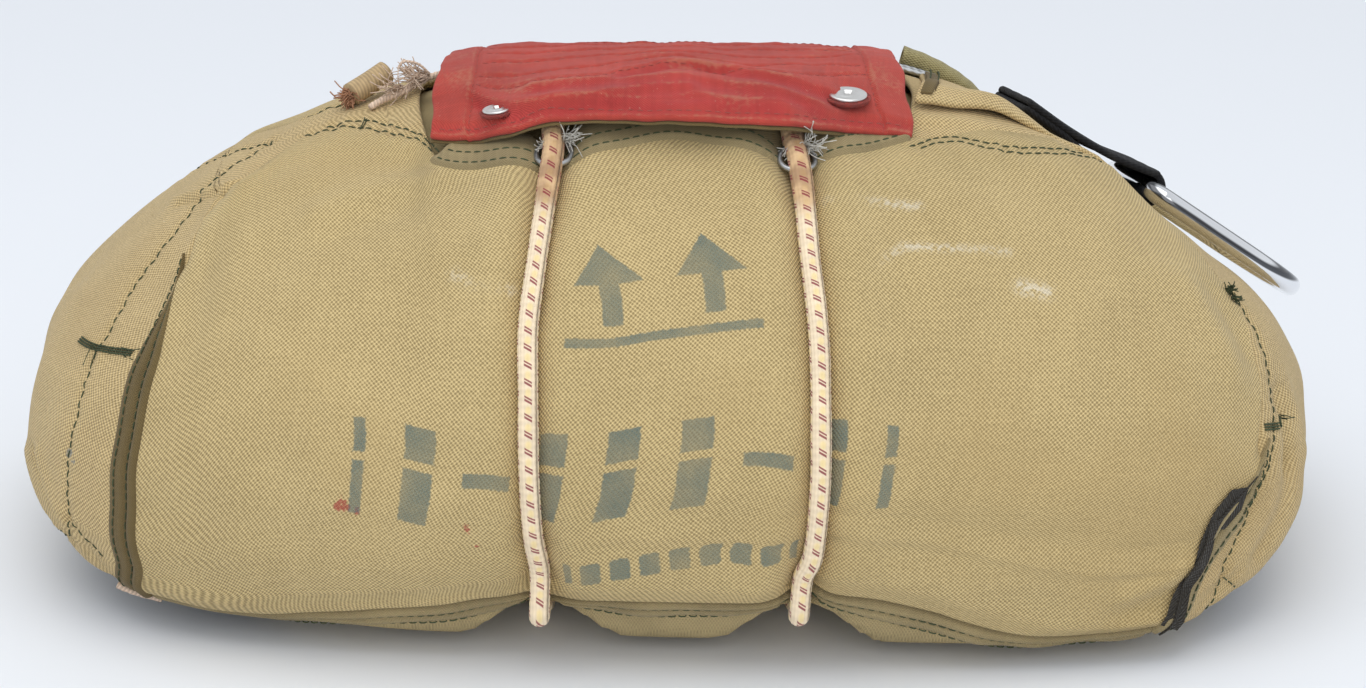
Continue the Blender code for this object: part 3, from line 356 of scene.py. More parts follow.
# Where strained seams are tacked down: points near the skin.
TACKS = [mm(rows) for rows in (
    ((-176.3, -43.3, 82.8), (-170.4, -52, 83.3), (-157.1, -63.3, 85.7)),
    ((178.7, -67, 63.6), (183.5, -60, 61.5)), ((183.5, -60, 61.5), (188.4, -54.2, 64)),
)]

# Whitish scuffs as lines near the skin; red specks and blue marks as points. All with half width.
SCUFFS = [(mm(rows), width) for rows, width in (
    (((56.7, -77.8, 113.7), (64, -72, 118), (69.9, -67.8, 120.8)), 0.0013),
    (((69.9, -67.8, 120.8), (86, -65, 119), (101.3, -62.2, 117.3)), 0.0012),
    (((48.4, -58.5, 131.5), (60, -57, 130.5), (74.9, -55.8, 129)), 0.0014),
    (((-64, -80, 118), (-56, -83, 115), (-47, -84, 114)), 0.0018),
    (((105, -70, 109), (112, -69, 107)), 0.0022),
)]
RED_SPECKS = mm((
    (-93, -103, 54.5, 4), (-88, -103, 53, 2.6), (-56.5, -106.7, 49.2, 2.6), (-54, -107, 44, 2.2)))
BLUE_MARKS = mm(((-175.8, -64, 54.5, 2), (-174, -66, 52.5, 1.4)))


# ---------------------------------------------------------------- lines
def ease(share):
    """Smooth step from 0 to 1."""
    share = np.clip(share, 0.0, 1.0)
    return share * share * (3.0 - 2.0 * share)


def bell(gap, width):
    return np.exp(-(gap / width) ** 2)


def unit(vectors):
    return vectors / np.maximum(np.linalg.norm(vectors, axis=-1, keepdims=True), 1e-12)


def run_along(points):
    """How far each point is from the first one, along a line or up the columns of a grid."""
    steps = np.linalg.norm(np.diff(points[..., :3], axis=0), axis=-1)
    return np.concatenate((np.zeros((1,) + steps.shape[1:]), np.cumsum(steps, axis=0)))


def through(rows, steps=LINE_STEPS):
    """Smooth curve through the rows, with that many samples between two of them."""
    rows = np.asarray(rows, float)
    padded = np.vstack((2.0 * rows[0] - rows[1], rows, 2.0 * rows[-1] - rows[-2]))
    before, start, end, after = (padded[skip:skip + len(rows) - 1, None] for skip in range(4))
    share = (np.arange(steps) / steps)[:, None]
    curve = 0.5 * (2.0 * start + (end - before) * share
                   + (2.0 * before - 5.0 * start + 4.0 * end - after) * share ** 2
                   + (3.0 * start - before - 3.0 * end + after) * share ** 3)
    return np.vstack((curve.reshape(-1, rows.shape[1]), rows[-1]))


def sampled(points, run, wanted):
    """A line's columns at places along it."""
    return np.stack([np.interp(wanted, run, column) for column in points.T], axis=-1)


def even(points, count):
    """The same line with evenly spaced points."""
    run = run_along(points)
    return sampled(points, run, np.linspace(0.0, run[-1], count))


def smooth_line(rows, count):
    return even(through(rows), count)


# ---------------------------------------------------------------- the pack's outer skin
LEVELS = through(SECTIONS, SECTION_STEPS)


def section_at(height):
    """The section's columns at any heights."""
    return [np.interp(height, LEVELS[:, 0], LEVELS[:, column]) for column in range(1, 6)]


def fullness(points):
    """Below 1 inside the pack, above 1 outside it."""
    left, right, front, far, square = section_at(points[..., 2])
    across = np.abs(points[..., 0] - (left + right) / 2) / np.maximum((right - left) / 2, 1e-6)
    deep = np.abs(points[..., 1] - (front + far) / 2) / np.maximum((far - front) / 2, 1e-6)
    value = np.minimum(across, 9.0) ** square + np.minimum(deep, 9.0) ** square
    beyond = (points[..., 2] < 0.0) | (points[..., 2] > SECTIONS[-1, 0])
    return np.where(beyond, 9.0, value)


def settle(points):
    """Pull the low front corners forward or back, and lift the left one."""
    points = points.copy()
    frontal = ease(-points[..., 1] / LEAN_DEPTH)
    low = 1.0 - ease(points[..., 2] / LEAN_HEIGHT)
    lift = CORNER_LIFT * ease((-points[..., 0] - LIFT_START) / LIFT_LENGTH)
    lift = lift * (1.0 - ease(points[..., 2] / LIFT_HEIGHT)) * frontal
    points[..., 1] -= CORNER_LEAN * points[..., 0] * low * frontal
    points[..., 2] += lift
    return points


def unsettle(points):
    """Where points of the settled skin were before it settled."""
    before = points
    for _ in range(4):
        before = points - (settle(before) - before)
    return before


def press(points):
    """Push the skin towards the heart where something holds it in."""
    inward = HEART - points
    inward /= np.linalg.norm(inward, axis=-1, keepdims=True)
    for x, y, z, wide, tall, depth in HOLLOWS:
        reach = ((points[..., 0] - x) / wide) ** 2 + ((points[..., 2] - z) / tall) ** 2
        reach += ((points[..., 1] - y) / tall) ** 2
        points = points + inward * (depth * np.exp(-reach))[..., None]
    return points


def on_skin(rough):
    """The full skin's point on the line from the heart through each rough point."""
    ray = rough - HEART
    ray /= np.linalg.norm(ray, axis=-1, keepdims=True)
    inside = np.zeros(ray.shape[:-1])
    outside = np.full(ray.shape[:-1], 0.3)
    for _ in range(40):
        middle = (inside + outside) / 2
        beyond = fullness(HEART + ray * middle[..., None]) > 1.0
        outside = np.where(beyond, middle, outside)
        inside = np.where(beyond, inside, middle)
    return HEART + ray * inside[..., None]


def laid(points):
    """Points of the full skin, settled and pressed in."""
    return press(settle(points))


def full(rows):
    """Edge points of the laid skin, moved to the full skin."""
    return on_skin(unsettle(np.asarray(rows, float)))


def on_cloth(rows, count):
    """An even line on the full skin through points near it."""
    return on_skin(smooth_line(full(rows), count))


def far_side(rows):
    """The same points mirrored to the far side."""
    return np.asarray(rows, float) * (1.0, -1.0, 1.0)


def above(across, deep):
    """Full-skin points on the top whose laid places have this x and y."""
    wanted = np.stack((across, deep), axis=-1)
    rough = np.concatenate((wanted, np.full(across.shape + (1,), TOP_HEIGHT)), axis=-1)
    for _ in range(4):
        rough[..., :2] += wanted - laid(on_skin(rough))[..., :2]
    return on_skin(rough)


def patch(bottom, top, left, right, rows, columns):
    """A grid of full-skin points between four edges that share their corners."""
    bottom, top, left, right = (
        line if len(line) == count else smooth_line(line, count)
        for line, count in ((bottom, columns), (top, columns), (left, rows), (right, rows)))
    across = np.linspace(0.0, 1.0, columns)[None, :, None]
    up = np.linspace(0.0, 1.0, rows)[:, None, None]
    blend = (1.0 - up) * bottom[None] + up * top[None]
    blend = blend + (1.0 - across) * left[:, None] + across * right[:, None]
    corners = (1.0 - up) * ((1.0 - across) * bottom[0] + across * bottom[-1])
    corners = corners + up * ((1.0 - across) * top[0] + across * top[-1])
    return on_skin(blend - corners)


def grid_normals(grid, middle):
    """Directions of a grid's faces, away from the points given."""
    normals = unit(np.cross(np.gradient(grid, axis=1), np.gradient(grid, axis=0)))
    return normals * np.sign(np.sum(normals * (grid - middle), axis=-1, keepdims=True) + 1e-12)


def skin(points):
    """Place and outward direction of the laid skin at points of the full skin."""
    ray = points - HEART
    side = unit(np.cross(ray, (0.0, 0.0, 1.0)))
    other = unit(np.cross(ray, side))
    across, up = (laid(on_skin(points + way * PROBE)) - laid(on_skin(points - way * PROBE))
                  for way in (side, other))
    normal = unit(np.cross(across, up))
    return laid(points), normal * np.sign(np.sum(normal * ray, axis=-1, keepdims=True))


def beside(line, distance):
    """A line of full-skin points moved sideways, to the left of its run seen from outside."""
    side = unit(np.cross(skin(line)[1], np.gradient(line, axis=0)))
    return on_skin(line + side * np.broadcast_to(distance, (len(line),))[:, None])


def near(points, line):
    """How far each point is from a line, and how far along the line."""
    flat = points.reshape(-1, 3)
    gaps = np.full(len(flat), 9.0)
    places = np.zeros(len(flat))
    run = 0.0
    for start, end in zip(line[:-1], line[1:]):
        step = end - start
        length = np.linalg.norm(step)
        share = np.clip((flat - start) @ step / length ** 2, 0.0, 1.0)
        gap = np.linalg.norm(flat - start - share[:, None] * step, axis=1)
        closer = gap < gaps
        gaps[closer] = gap[closer]
        places[closer] = run + share[closer] * length
        run += length
    return gaps.reshape(points.shape[:-1]), places.reshape(points.shape[:-1])


def waves(points, size, seed):
    """Smooth bumps of about that size, mostly between -1 and 1."""
    chance = np.random.default_rng(seed)
    total = 0.0
    for _ in range(10):
        way = unit(chance.normal(size=3)) * FULL_TURN / (size * chance.uniform(0.7, 1.5))
        total = total + np.sin(points @ way + chance.uniform(0.0, 6.28))
    return total / 3.2


CORD_LINES = [laid(on_cloth(mirror(rows[skip:, :3]), 30)) for rows in CORDS.values()
              for mirror, skip in ((np.asarray, 0), (far_side, FAR_START))]
SEAM_LINES = [laid(on_cloth(mirror(rows), 26)) for rows in SEAMS
              for mirror in (np.asarray, far_side)]


def relief_without_cords(points):
    """Height of folds over the laid skin."""
    height = 0.0010 * waves(points, 0.085, 3) + 0.0004 * waves(points, 0.030, 5)
    for fold in FOLDS:
        height = height + fold[7] * bell(near(points, fold[:6].reshape(2, 3))[0], fold[6])
    return height


def relief(points):
    """Height of folds, puckers and cord grooves over the laid skin."""
    height = relief_without_cords(points)
    for line in CORD_LINES:
        gap, _ = near(points, line)
        height = height - GROOVE_DEPTH * bell(gap, GROOVE_WIDTH)
        height = height + SWELL_HEIGHT * bell(gap - SWELL_PLACE, SWELL_WIDTH)
    for line in SEAM_LINES:
        gap, place = near(points, line)
        pucker = np.sin(place * 880.0 + 1.6 * np.sin(place * 190.0))
        height = height - PUCKER_DEPTH * bell(gap, 0.0014)
        height = height + PUCKER_HEIGHT * pucker * bell(gap, PUCKER_WIDTH)
    return height


def on_surface(points, lift=0.0):
    """Points on the finished cloth over full-skin points, and the direction out of it."""
    place, normal = skin(points)
    return place + normal * (relief(place) + lift)[..., None], normal


def over_skin(x, y, height):
    """A point at a height over the top of the pack, and the direction out of it."""
    place, normal = skin(full((x, y, TOP_HEIGHT))[None])
    return (place + normal * height)[0], normal[0]


# ---------------------------------------------------------------- making pieces
def ring_faces(rows, count, closed=False):
    """Faces of stacked rings, with a cap at each end unless the last ring meets the first."""
    low = np.arange(rows * count).reshape(rows, count)
    high = np.roll(low, -1, axis=0)
    if not closed:
        low, high = low[:-1], high[:-1]
    quads = np.stack((low, np.roll(low, -1, axis=1), np.roll(high, -1, axis=1), high), axis=-1)
    faces = quads.reshape(-1, 4).tolist()
    if not closed:
        faces += [list(range(count - 1, -1, -1)), list(range((rows - 1) * count, rows * count))]
    return faces


class Heap:
    """Points and faces of many small parts that make one piece."""

    def __init__(self):
        self.points, self.faces, self.maps = [], [], []

    def add(self, points, faces, uv):
        start = len(self.points)
        self.points.extend(points)
        self.faces.extend([start + corner for corner in face] for face in faces)
        self.maps.extend(uv)

    def tube(self, line, radius, sides=6, closed=False, shape=None):
        """A tube along a line; shape(turns, places) scales its radius."""
        run = unit(np.gradient(line, axis=0) if not closed
                   else np.roll(line, -1, axis=0) - np.roll(line, 1, axis=0))
        across = np.empty_like(line)
        side = np.cross(run[0], (0.31, 0.95, 0.05))
        for index, way in enumerate(run):
            side = unit(side - way * (side @ way))
            across[index] = side
        other = np.cross(run, across)
        places = run_along(line)[:, None]
        turns = np.linspace(0.0, FULL_TURN, sides, endpoint=False)[None, :]
        size = np.broadcast_to(radius, (len(line),))[:, None] * np.ones(sides)
        if shape is not None:
            size = size * shape(turns, places)
        ring = (np.cos(turns)[..., None] * across[:, None]
                + np.sin(turns)[..., None] * other[:, None])
        points = (line[:, None] + ring * size[..., None]).reshape(-1, 3)
        uv = np.stack(np.broadcast_arrays(turns / FULL_TURN, places), -1)
        self.add(points, ring_faces(len(line), sides, closed), uv.reshape(-1, 2))

    def piece(self, name, kind, nodes=(), slot=None):
        return make(name, np.array(self.points), self.faces, kind, np.array(self.maps), nodes)


def make(name, points, faces, kind, uv, nodes=(), marks=None):
    mesh = bpy.data.meshes.new(name)
    mesh.from_pydata(points.tolist(), [], faces)
    mesh.update()
    corners = np.empty(len(mesh.loops), int)
    mesh.loops.foreach_get("vertex_index", corners)
    layer = mesh.uv_layers.new(name="Cloth")
    layer.data.foreach_set("uv", uv[corners].astype(np.float32).ravel())
    if marks is not None:
        layer = mesh.color_attributes.new("MarksAndShade", "FLOAT_COLOR", "POINT")
        layer.data.foreach_set("color", marks.astype(np.float32).ravel())
    mesh.shade_smooth()
    mesh.materials.append(kind)
    piece = bpy.data.objects.new(name, mesh)
    bpy.context.scene.collection.objects.link(piece)
    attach(piece, "root")
    if nodes:
        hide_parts(*nodes)
    return piece


def grid_faces(rows, columns, flip):
    index = np.arange(rows * columns).reshape(rows, columns)
    quads = np.stack((index[:-1, :-1], index[:-1, 1:], index[1:, 1:], index[1:, :-1]), -1)
    quads = quads.reshape(-1, 4)
    return (quads[:, ::-1] if flip else quads).tolist()


def cloth_map(points):
    """Metres along the cloth, across and up, from the middle of a grid."""
    rows, columns = points.shape[:2]
    across = run_along(points.transpose(1, 0, 2)).T
    up = run_along(points)
    return np.stack((across - across[:, columns // 2, None], up - up[rows // 2]), axis=-1)


def sheet_mesh(points, normals, thickness, closed, tuck=0.004):
    """A sheet's outer face with a round edge, and either its inner face or a turned-in hem."""
    rows, columns = points.shape[:2]
    index = np.arange(rows * columns).reshape(rows, columns)
    border = np.concatenate((index[0, :-1], index[:-1, -1], index[-1, :0:-1], index[:0:-1, 0]))
    inner = np.pad(index[1:-1, 1:-1], 1, "edge").ravel()[border]
    flat = points.reshape(-1, 3)
    out = normals.reshape(-1, 3)[border]
    maps = cloth_map(points).reshape(-1, 2)
    away = flat[border] - flat[inner]
    away = unit(away - out * np.sum(away * out, axis=1, keepdims=True))
    slide = unit(maps[border] - maps[inner])
    radius = thickness / 2.0
    loops, loop_maps = [], []
    for turn in np.radians((36.0, 72.0, 108.0, 144.0, 180.0)):
        loops.append(flat[border] + away * radius * math.sin(turn)
                     - out * radius * (1.0 - math.cos(turn)))
        loop_maps.append(maps[border] + slide * radius * turn)
    if not closed:
        loops.append(loops[-1] - away * tuck)
        loop_maps.append(loop_maps[-1] + slide * tuck)
    outward = np.sum(np.cross(points[0, 1] - points[0, 0], points[1, 0] - points[0, 0])
                     * normals[0, 0]) > 0.0
    faces = grid_faces(rows, columns, not outward)
    previous = border
    for loop in range(len(loops)):
        following = len(flat) + loop * len(border) + np.arange(len(border))
        ring = np.stack((previous, following, np.roll(following, -1), np.roll(previous, -1)), -1)
        faces += (ring if outward else ring[:, ::-1]).tolist()
        previous = following
    everything = np.vstack((flat, *loops))
    all_maps = np.vstack((maps, *loop_maps))
    if closed:
        keep = np.ones(len(flat), bool)
        keep[border] = False
        place = len(everything) + np.cumsum(keep) - 1
        place[border] = previous
        everything = np.vstack((everything, (points - normals * thickness).reshape(-1, 3)[keep]))
        all_maps = np.vstack((all_maps, maps[keep]))
        faces += place[np.array(grid_faces(rows, columns, outward))].tolist()
    return everything, faces, all_maps


def cloth_piece(name, points, normals, kind, thickness=CLOTH, closed=False, nodes=()):
    everything, faces, uv = sheet_mesh(points, normals, thickness, closed)
    return make(name, everything, faces, kind, uv, nodes, marks_on(everything))


def marks_on(points):
    """Red, green and blue hold how much scuff, red stain and blue mark each point has."""
    marks = np.zeros((len(points), 4))
    marks[:, 3] = 1.0
    for rows, width in SCUFFS:
        gap, _ = near(points, laid(on_cloth(rows, 12)))
        marks[:, 0] = np.maximum(marks[:, 0], bell(gap, width))
    for channel, spots in ((1, RED_SPECKS), (2, BLUE_MARKS)):
        for *place, width in spots:
            gap = np.linalg.norm(points - laid(full(place)), axis=1)
            marks[:, channel] = np.maximum(marks[:, channel], bell(gap, width))
    return marks


# ---------------------------------------------------------------- materials
class Field:
    """A node's output, with arithmetic that adds nodes."""

    def __init__(self, nodes, socket):
        self.nodes, self.socket = nodes, socket

    def __add__(self, other):
        return self.nodes.math("ADD", self, other)

    def __sub__(self, other):
        return self.nodes.math("SUBTRACT", self, other)

    def __rsub__(self, other):
        return self.nodes.math("SUBTRACT", other, self)

    def __mul__(self, other):
        return self.nodes.math("MULTIPLY", self, other)

    def __abs__(self):
        return self.nodes.math("ABSOLUTE", self)


class Nodes:
    """A node tree, whose nodes are added one after another."""

    def __init__(self, tree):
        self.tree = tree

    def link(self, field, socket):
        self.tree.links.new(field.socket, socket)

    def add(self, kind, *inputs, out=0, **settings):
        node = self.tree.nodes.new("ShaderNode" + kind)
        for name, value in settings.items():
            setattr(node, name, value)
        for place, value in inputs:
            if isinstance(value, Field):
                self.link(value, node.inputs[place])
            else:
                node.inputs[place].default_value = value
        return Field(self, node.outputs[out])

    def math(self, operation, *values):
        return self.add("Math", *enumerate(values), operation=operation)

    def most(self, *values):
        return functools.reduce(lambda first, second: self.math("MAXIMUM", first, second), values)

    def least(self, *values):
        return functools.reduce(lambda first, second: self.math("MINIMUM", first, second), values)

    def vector(self, operation, *values, out=0):
        return self.add("VectorMath", *enumerate(values), operation=operation, out=out)

    def mix(self, share, first, second):
        first, second = [(*c, 1.0) if isinstance(c, tuple) else c for c in (first, second)]
        return self.add("Mix", (0, share), (6, first), (7, second), data_type="RGBA", out=2)

    def stain(self, share, strength, under, over):
        return self.mix(share * strength, under, over)

    def ramp(self, value, low, high):
        return self.add("MapRange", *enumerate((value, low, high)),
                        interpolation_type="SMOOTHSTEP")

    def noise(self, vector, scale, detail=2.0, out=0):
        return self.add("TexNoise", ("Vector", vector), ("Scale", scale), ("Detail", detail),
                        out=out)

    def cloud(self, vector, scale, detail=2.0):
        """Noise about zero."""
        return self.noise(vector, scale, detail) - 0.5

    def split(self, vector):
        first = self.add("SeparateXYZ", (0, vector))
        return [Field(self, output) for output in first.socket.node.outputs]

    def place(self, out=3):
        return self.add("TexCoord", out=out)

    def cloth(self):
        return self.add("UVMap", uv_map="Cloth")

    def marks(self):
        return self.add("Attribute", attribute_name="MarksAndShade")


class Paint(Nodes):
    """A piece's material."""

    def __init__(self, name, roughness, metallic=0.0, **sockets):
        self.kind = bpy.data.materials.new(name)
        self.kind.use_nodes = True
        super().__init__(self.kind.node_tree)
        self.shader = self.tree.nodes["Principled BSDF"]
        for socket, value in {"Roughness": roughness, "Metallic": metallic, **sockets}.items():
            self.shader.inputs[socket.replace("_", " ")].default_value = value

    def finish(self, colour, height=None, distance=0.0001, strength=1.0):
        self.link(colour, self.shader.inputs["Base Color"])
        if height is not None:
            bump = self.add("Bump", ("Strength", strength), ("Distance", distance),
                            ("Height", height))
            self.link(bump, self.shader.inputs["Normal"])
        return self.kind


def weave(paint, period, wobble=1.1):
    """Plain weave: -1 in the pits to 1 on the yarns' crowns."""
    uv = paint.cloth()
    stray = paint.vector("SUBTRACT", paint.noise(uv, 260.0, out=1), (0.5, 0.5, 0.5))
    stray = paint.add("VectorMath", (0, stray), ("Scale", wobble * 2.0), operation="SCALE")
    angle = FULL_TURN / period
    angles = paint.vector("ADD", paint.vector("MULTIPLY", uv, (angle, angle, 0.0)), stray)
    along, up, _ = paint.split(angles)
    return paint.math("SINE", along) * paint.math("SINE", up)


def slubs(paint):
    """Thick and thin yarns, as streaks along and across the cloth."""
    first, second = (paint.noise(paint.vector("MULTIPLY", paint.cloth(), stretch), 1.0, 1.0)
                     for stretch in ((35.0, 1100.0, 1.0), (1100.0, 35.0, 1.0)))
    return first + second - 1.0


def tinted(base, scale):
    return tuple(min(1.0, channel * scale) for channel in base)


def canvas(name, base, contrast=0.70, marks=False, ink=None):
    """Cotton duck with soil, wear and, on the panels, scuffs, stains and worn ink."""
    paint = Paint(name, 0.92, Sheen_Weight=0.10, Sheen_Roughness=0.5)
    place = paint.place()
    yarn = weave(paint, YARN_PITCH)
    streak = slubs(paint)
    blotch = paint.cloud(place, 75.0, 3.0)
    share = yarn * contrast + 0.52 + paint.cloud(paint.cloth(), 900.0) * 0.90 + streak * 0.22
    share = share + paint.cloud(place, 16.0, 4.0) * 0.30 + blotch * 0.28
    shade, brown = (tuple(channel * tint for channel, tint in zip(base, tints))
                    for tints in ((0.60, 0.56, 0.48), (0.86, 0.76, 0.62)))
    colour = paint.mix(share, shade, tinted(base, 1.40))
    colour = paint.stain(paint.ramp(paint.noise(place, 9.0, 5.0), 0.52, 0.72), 0.35, colour, brown)
    if marks:
        rubbed, red, blue = paint.split(paint.marks())
        fine = paint.noise(place, 700.0)
        colour = paint.stain(rubbed, paint.ramp(fine, 0.35, 0.62) * 0.75, colour,
                             (0.80, 0.74, 0.60))
        colour = paint.stain(paint.ramp(fine + red, 1.10, 1.30), 0.75, colour, (0.36, 0.03, 0.03))
        colour = paint.stain(paint.ramp(fine + blue, 0.95, 1.25), 0.6, colour, (0.12, 0.17, 0.20))
    if ink:
        worn = yarn * 0.18 + 0.66 + blotch * 0.90
        colour = paint.stain(printed(paint, ink), worn, colour, (0.115, 0.160, 0.140))
    return paint.finish(colour, streak * 0.6 + yarn, 0.00017)


def printed(paint, ink):
    """Share of ink: two arrows over a bar, a broken row of bars and a row of dots."""
    uv = paint.cloth()
    arrows, bars, dots = (paint.split(paint.vector("SUBTRACT", uv, (*ink[part], 0.0)))
                          for part in ("arrows", "bars", "dots"))
    along, up, _ = arrows
    folded = abs(abs(along) - 0.0150)
    head = paint.most(folded + (up - 0.0158) * 0.80, 0.0030 - up)
    shaft = paint.most(folded - 0.0030, abs(up + 0.0030) - 0.0065)
    line = paint.most(abs(along) - 0.0290, abs(up + 0.0144) - 0.0014)

    along, up, _ = bars
    along = up * 0.20 + along
    cell = paint.math("WRAP", along, 0.0105, -0.0105)
    gaps = abs(abs(along) - 0.0420)
    bar = paint.most(abs(cell) - 0.0046, abs(up) - 0.0142, 0.0013 - abs(up - 0.0030), 0.0105 - gaps)
    dash = paint.most(gaps - 0.0075, abs(up) - 0.0022)
    row = paint.most(paint.least(bar, dash), abs(along) - 0.0830)

    along, up, _ = dots
    cell = paint.add("CombineXYZ", (0, paint.math("WRAP", along, 0.0044, -0.0044)), (1, up))
    corner = paint.vector("SUBTRACT", paint.vector("ABSOLUTE", cell), (0.0018, 0.0024, 0.0))
    corner = paint.vector("MAXIMUM", corner, (0.0, 0.0, 0.0))
    dot = paint.most(paint.vector("LENGTH", corner, out=1) - 0.0012, abs(along) - 0.0350)
    field = paint.least(head, shaft, line, row, dot) + paint.cloud(uv, 900.0) * 0.0012
    return paint.ramp(field, 0.00035, -0.00035)


def herringbone(name, base):
    """Twill tape whose diagonals turn back and forth across it."""
    paint = Paint(name, 0.90, Sheen_Weight=0.08)
    across, along, _ = paint.split(paint.cloth())
    zigzag = along + paint.math("PINGPONG", across, 0.0016)
    twill = paint.math("SINE", zigzag * (FULL_TURN / 0.00085))
    share = twill * 0.17 + 0.5 + paint.cloud(paint.place(), 60.0, 4.0) * 0.9 + slubs(paint) * 0.35
    return paint.finish(paint.mix(share, tinted(base, 0.66), tinted(base, 1.34)), twill, 0.00007)


def red_cloth(name, base):
    """Faded red twill: tan where its ridges are rubbed, deeper in its folds."""
    paint = Paint(name, 0.90, Sheen_Weight=0.08)
    place = paint.place()
    across, along, _ = paint.split(paint.cloth())
    twill = paint.math("SINE", (across + along) * (FULL_TURN / 0.00078))
    cloud = paint.cloud(place, 60.0, 5.0)
    share = twill * 0.13 + 0.5 + slubs(paint) * 0.40 + cloud * 0.9
    colour = paint.mix(share, tinted(base, 0.70), tinted(base, 1.30))
    rubbed, fresh, _ = paint.split(paint.marks())
    colour = paint.stain(fresh, 0.75, colour, paint.mix(
        share, (0.30, 0.018, 0.020), (0.52, 0.050, 0.045)))
    broken = paint.ramp(rubbed * 0.62 + paint.noise(place, 750.0), 0.66, 1.16)
    colour = paint.stain(broken, 0.55, colour, (0.46, 0.17, 0.10))
    speck = paint.ramp(paint.noise(place, 1300.0, 1.0), 0.72, 0.78)
    colour = paint.stain(speck, 0.30, colour, (0.62, 0.40, 0.30))
    return paint.finish(colour, cloud + twill, 0.00007)


def cord_cover(name, base, round_it):
    """Braided sheath with slanted maroon flecks and soft yellow ones, soiled at its upper ends."""
    paint = Paint(name, 0.85, Sheen_Weight=0.10)
    place = paint.place()
    turn, along, _ = paint.split(paint.cloth())
    quarter = turn * 4.0
    across = (paint.math("FRACT", quarter) - 0.5) * (round_it / 4.0)
    moved = paint.math("FLOOR", quarter) * FLECK_STEP + along
    fleck = paint.math("WRAP", moved, FLECK_STEP, -FLECK_STEP)
    slant = across * 0.55 + fleck
    lines = paint.least(abs(slant) - 0.00034, abs(slant + 0.00095) - 0.00026)
    dash = paint.most(lines, abs(across) - 0.00115)
    first, second = (paint.math("SINE", turn * (BRAID_TURNS * FULL_TURN) + along * run)
                     for run in (BRAID_RUN, -BRAID_RUN))
    braid = first * second
    cloud = paint.cloud(place, 140.0, 3.0)
    colour = paint.mix(braid * 0.16 + 0.55 + cloud * 0.7, tinted(base, 0.74), tinted(base, 1.18))
    yellow = paint.add("CombineXYZ", (0, across), (1, abs(fleck) - 0.0022))
    yellow = paint.ramp(paint.vector("LENGTH", yellow, out=1), 0.0014, 0.0004)
    colour = paint.stain(yellow, 0.55, colour, (0.86, 0.66, 0.24))
    soiled = paint.ramp(cloud * 0.010 + paint.split(place)[2], 0.1290, 0.1350)
    colour = paint.stain(soiled, 0.85, colour, paint.mix(
        paint.ramp(cloud, -0.12, 0.14), (0.36, 0.19, 0.085), (0.66, 0.42, 0.21)))
    colour = paint.stain(paint.ramp(dash, 0.00012, -0.00012), 0.88, colour, (0.23, 0.012, 0.030))
    return paint.finish(colour, braid, 0.00010)


def yarn_paint(name, base):
    """Twisted thread."""
    paint = Paint(name, 0.85)
    turn, along, _ = paint.split(paint.cloth())
    ply = paint.math("SINE", along * 5200.0 + turn * (2.0 * FULL_TURN))
    share = ply * 0.22 + paint.cloud(paint.place(), 400.0, 3.0) * 0.9 + 0.5
    return paint.finish(paint.mix(share, tinted(base, 0.6), tinted(base, 1.4)), ply, 0.00005)


def metal(name, base, roughness, scratch, dark_reflection_way=None):
    """Plated or bare metal with fine scratches and marks, and a painted dark reflection band on faces
    turned partly towards the direction named.
    """
    paint = Paint(name, roughness, 1.0)
    place = paint.place()
    dull = paint.noise(place, 90.0, 5.0)
    fine = paint.noise(paint.vector("MULTIPLY", place, (400.0, 2600.0, 2600.0)), 1.0, 3.0)
    paint.link(dull * scratch + roughness, paint.shader.inputs["Roughness"])
    colour = paint.mix(dull, tinted(base, 0.92), base)
    if dark_reflection_way:
        # Painted reflection: a near-black band on faces turned partly this way, standing in for a dark
        # room mirrored in the metal.
        facing = paint.vector("DOT_PRODUCT", paint.place(1), dark_reflection_way, out=1)
        facing = paint.noise(place, 60.0, 1.0) * 0.10 + facing
        band = paint.ramp(facing, 0.62, 0.72) * paint.ramp(facing, 0.98, 0.90)
        colour = paint.stain(band, 0.92, colour, (0.035, 0.036, 0.040))
    return paint.finish(colour, fine, 0.000012, 0.35 + scratch)


def webbing(name, base):
    """Ribbed black webbing, a little dusty."""
    paint = Paint(name, 0.90, Sheen_Weight=0.03, Specular_IOR_Level=0.25)
    across, along, _ = paint.split(paint.cloth())
    rib = paint.math("SINE", across * 4800.0) * paint.math("SINE", along * 3300.0)
    colour = paint.mix(rib * 0.3 + 0.5, tinted(base, 0.5), tinted(base, 1.8))
    dust = paint.ramp(paint.noise(paint.place(), 170.0, 5.0), 0.45, 0.75)
    return paint.finish(paint.stain(dust, 0.14, colour, (0.07, 0.066, 0.055)), rib, 0.00012)


def lining(name, base, painted_shade_colour):
    """The filled body: canvas where it lies, painted deep shade where the panels close over it."""
    paint = Paint(name, 0.95)
    yarn = weave(paint, FINE_PITCH)
    share = yarn * 0.30 + paint.noise(paint.place(), 60.0, 5.0)
    colour = paint.mix(share, tinted(base, 0.70), tinted(base, 1.25))
    # The attribute's fourth channel is how much painted shade covers the pad.
    inside = paint.add("Attribute", attribute_name="MarksAndShade", out=3)
    return paint.finish(paint.mix(inside, colour, painted_shade_colour), yarn, 0.0001)


PANEL_BASE = (0.500, 0.385, 0.185)
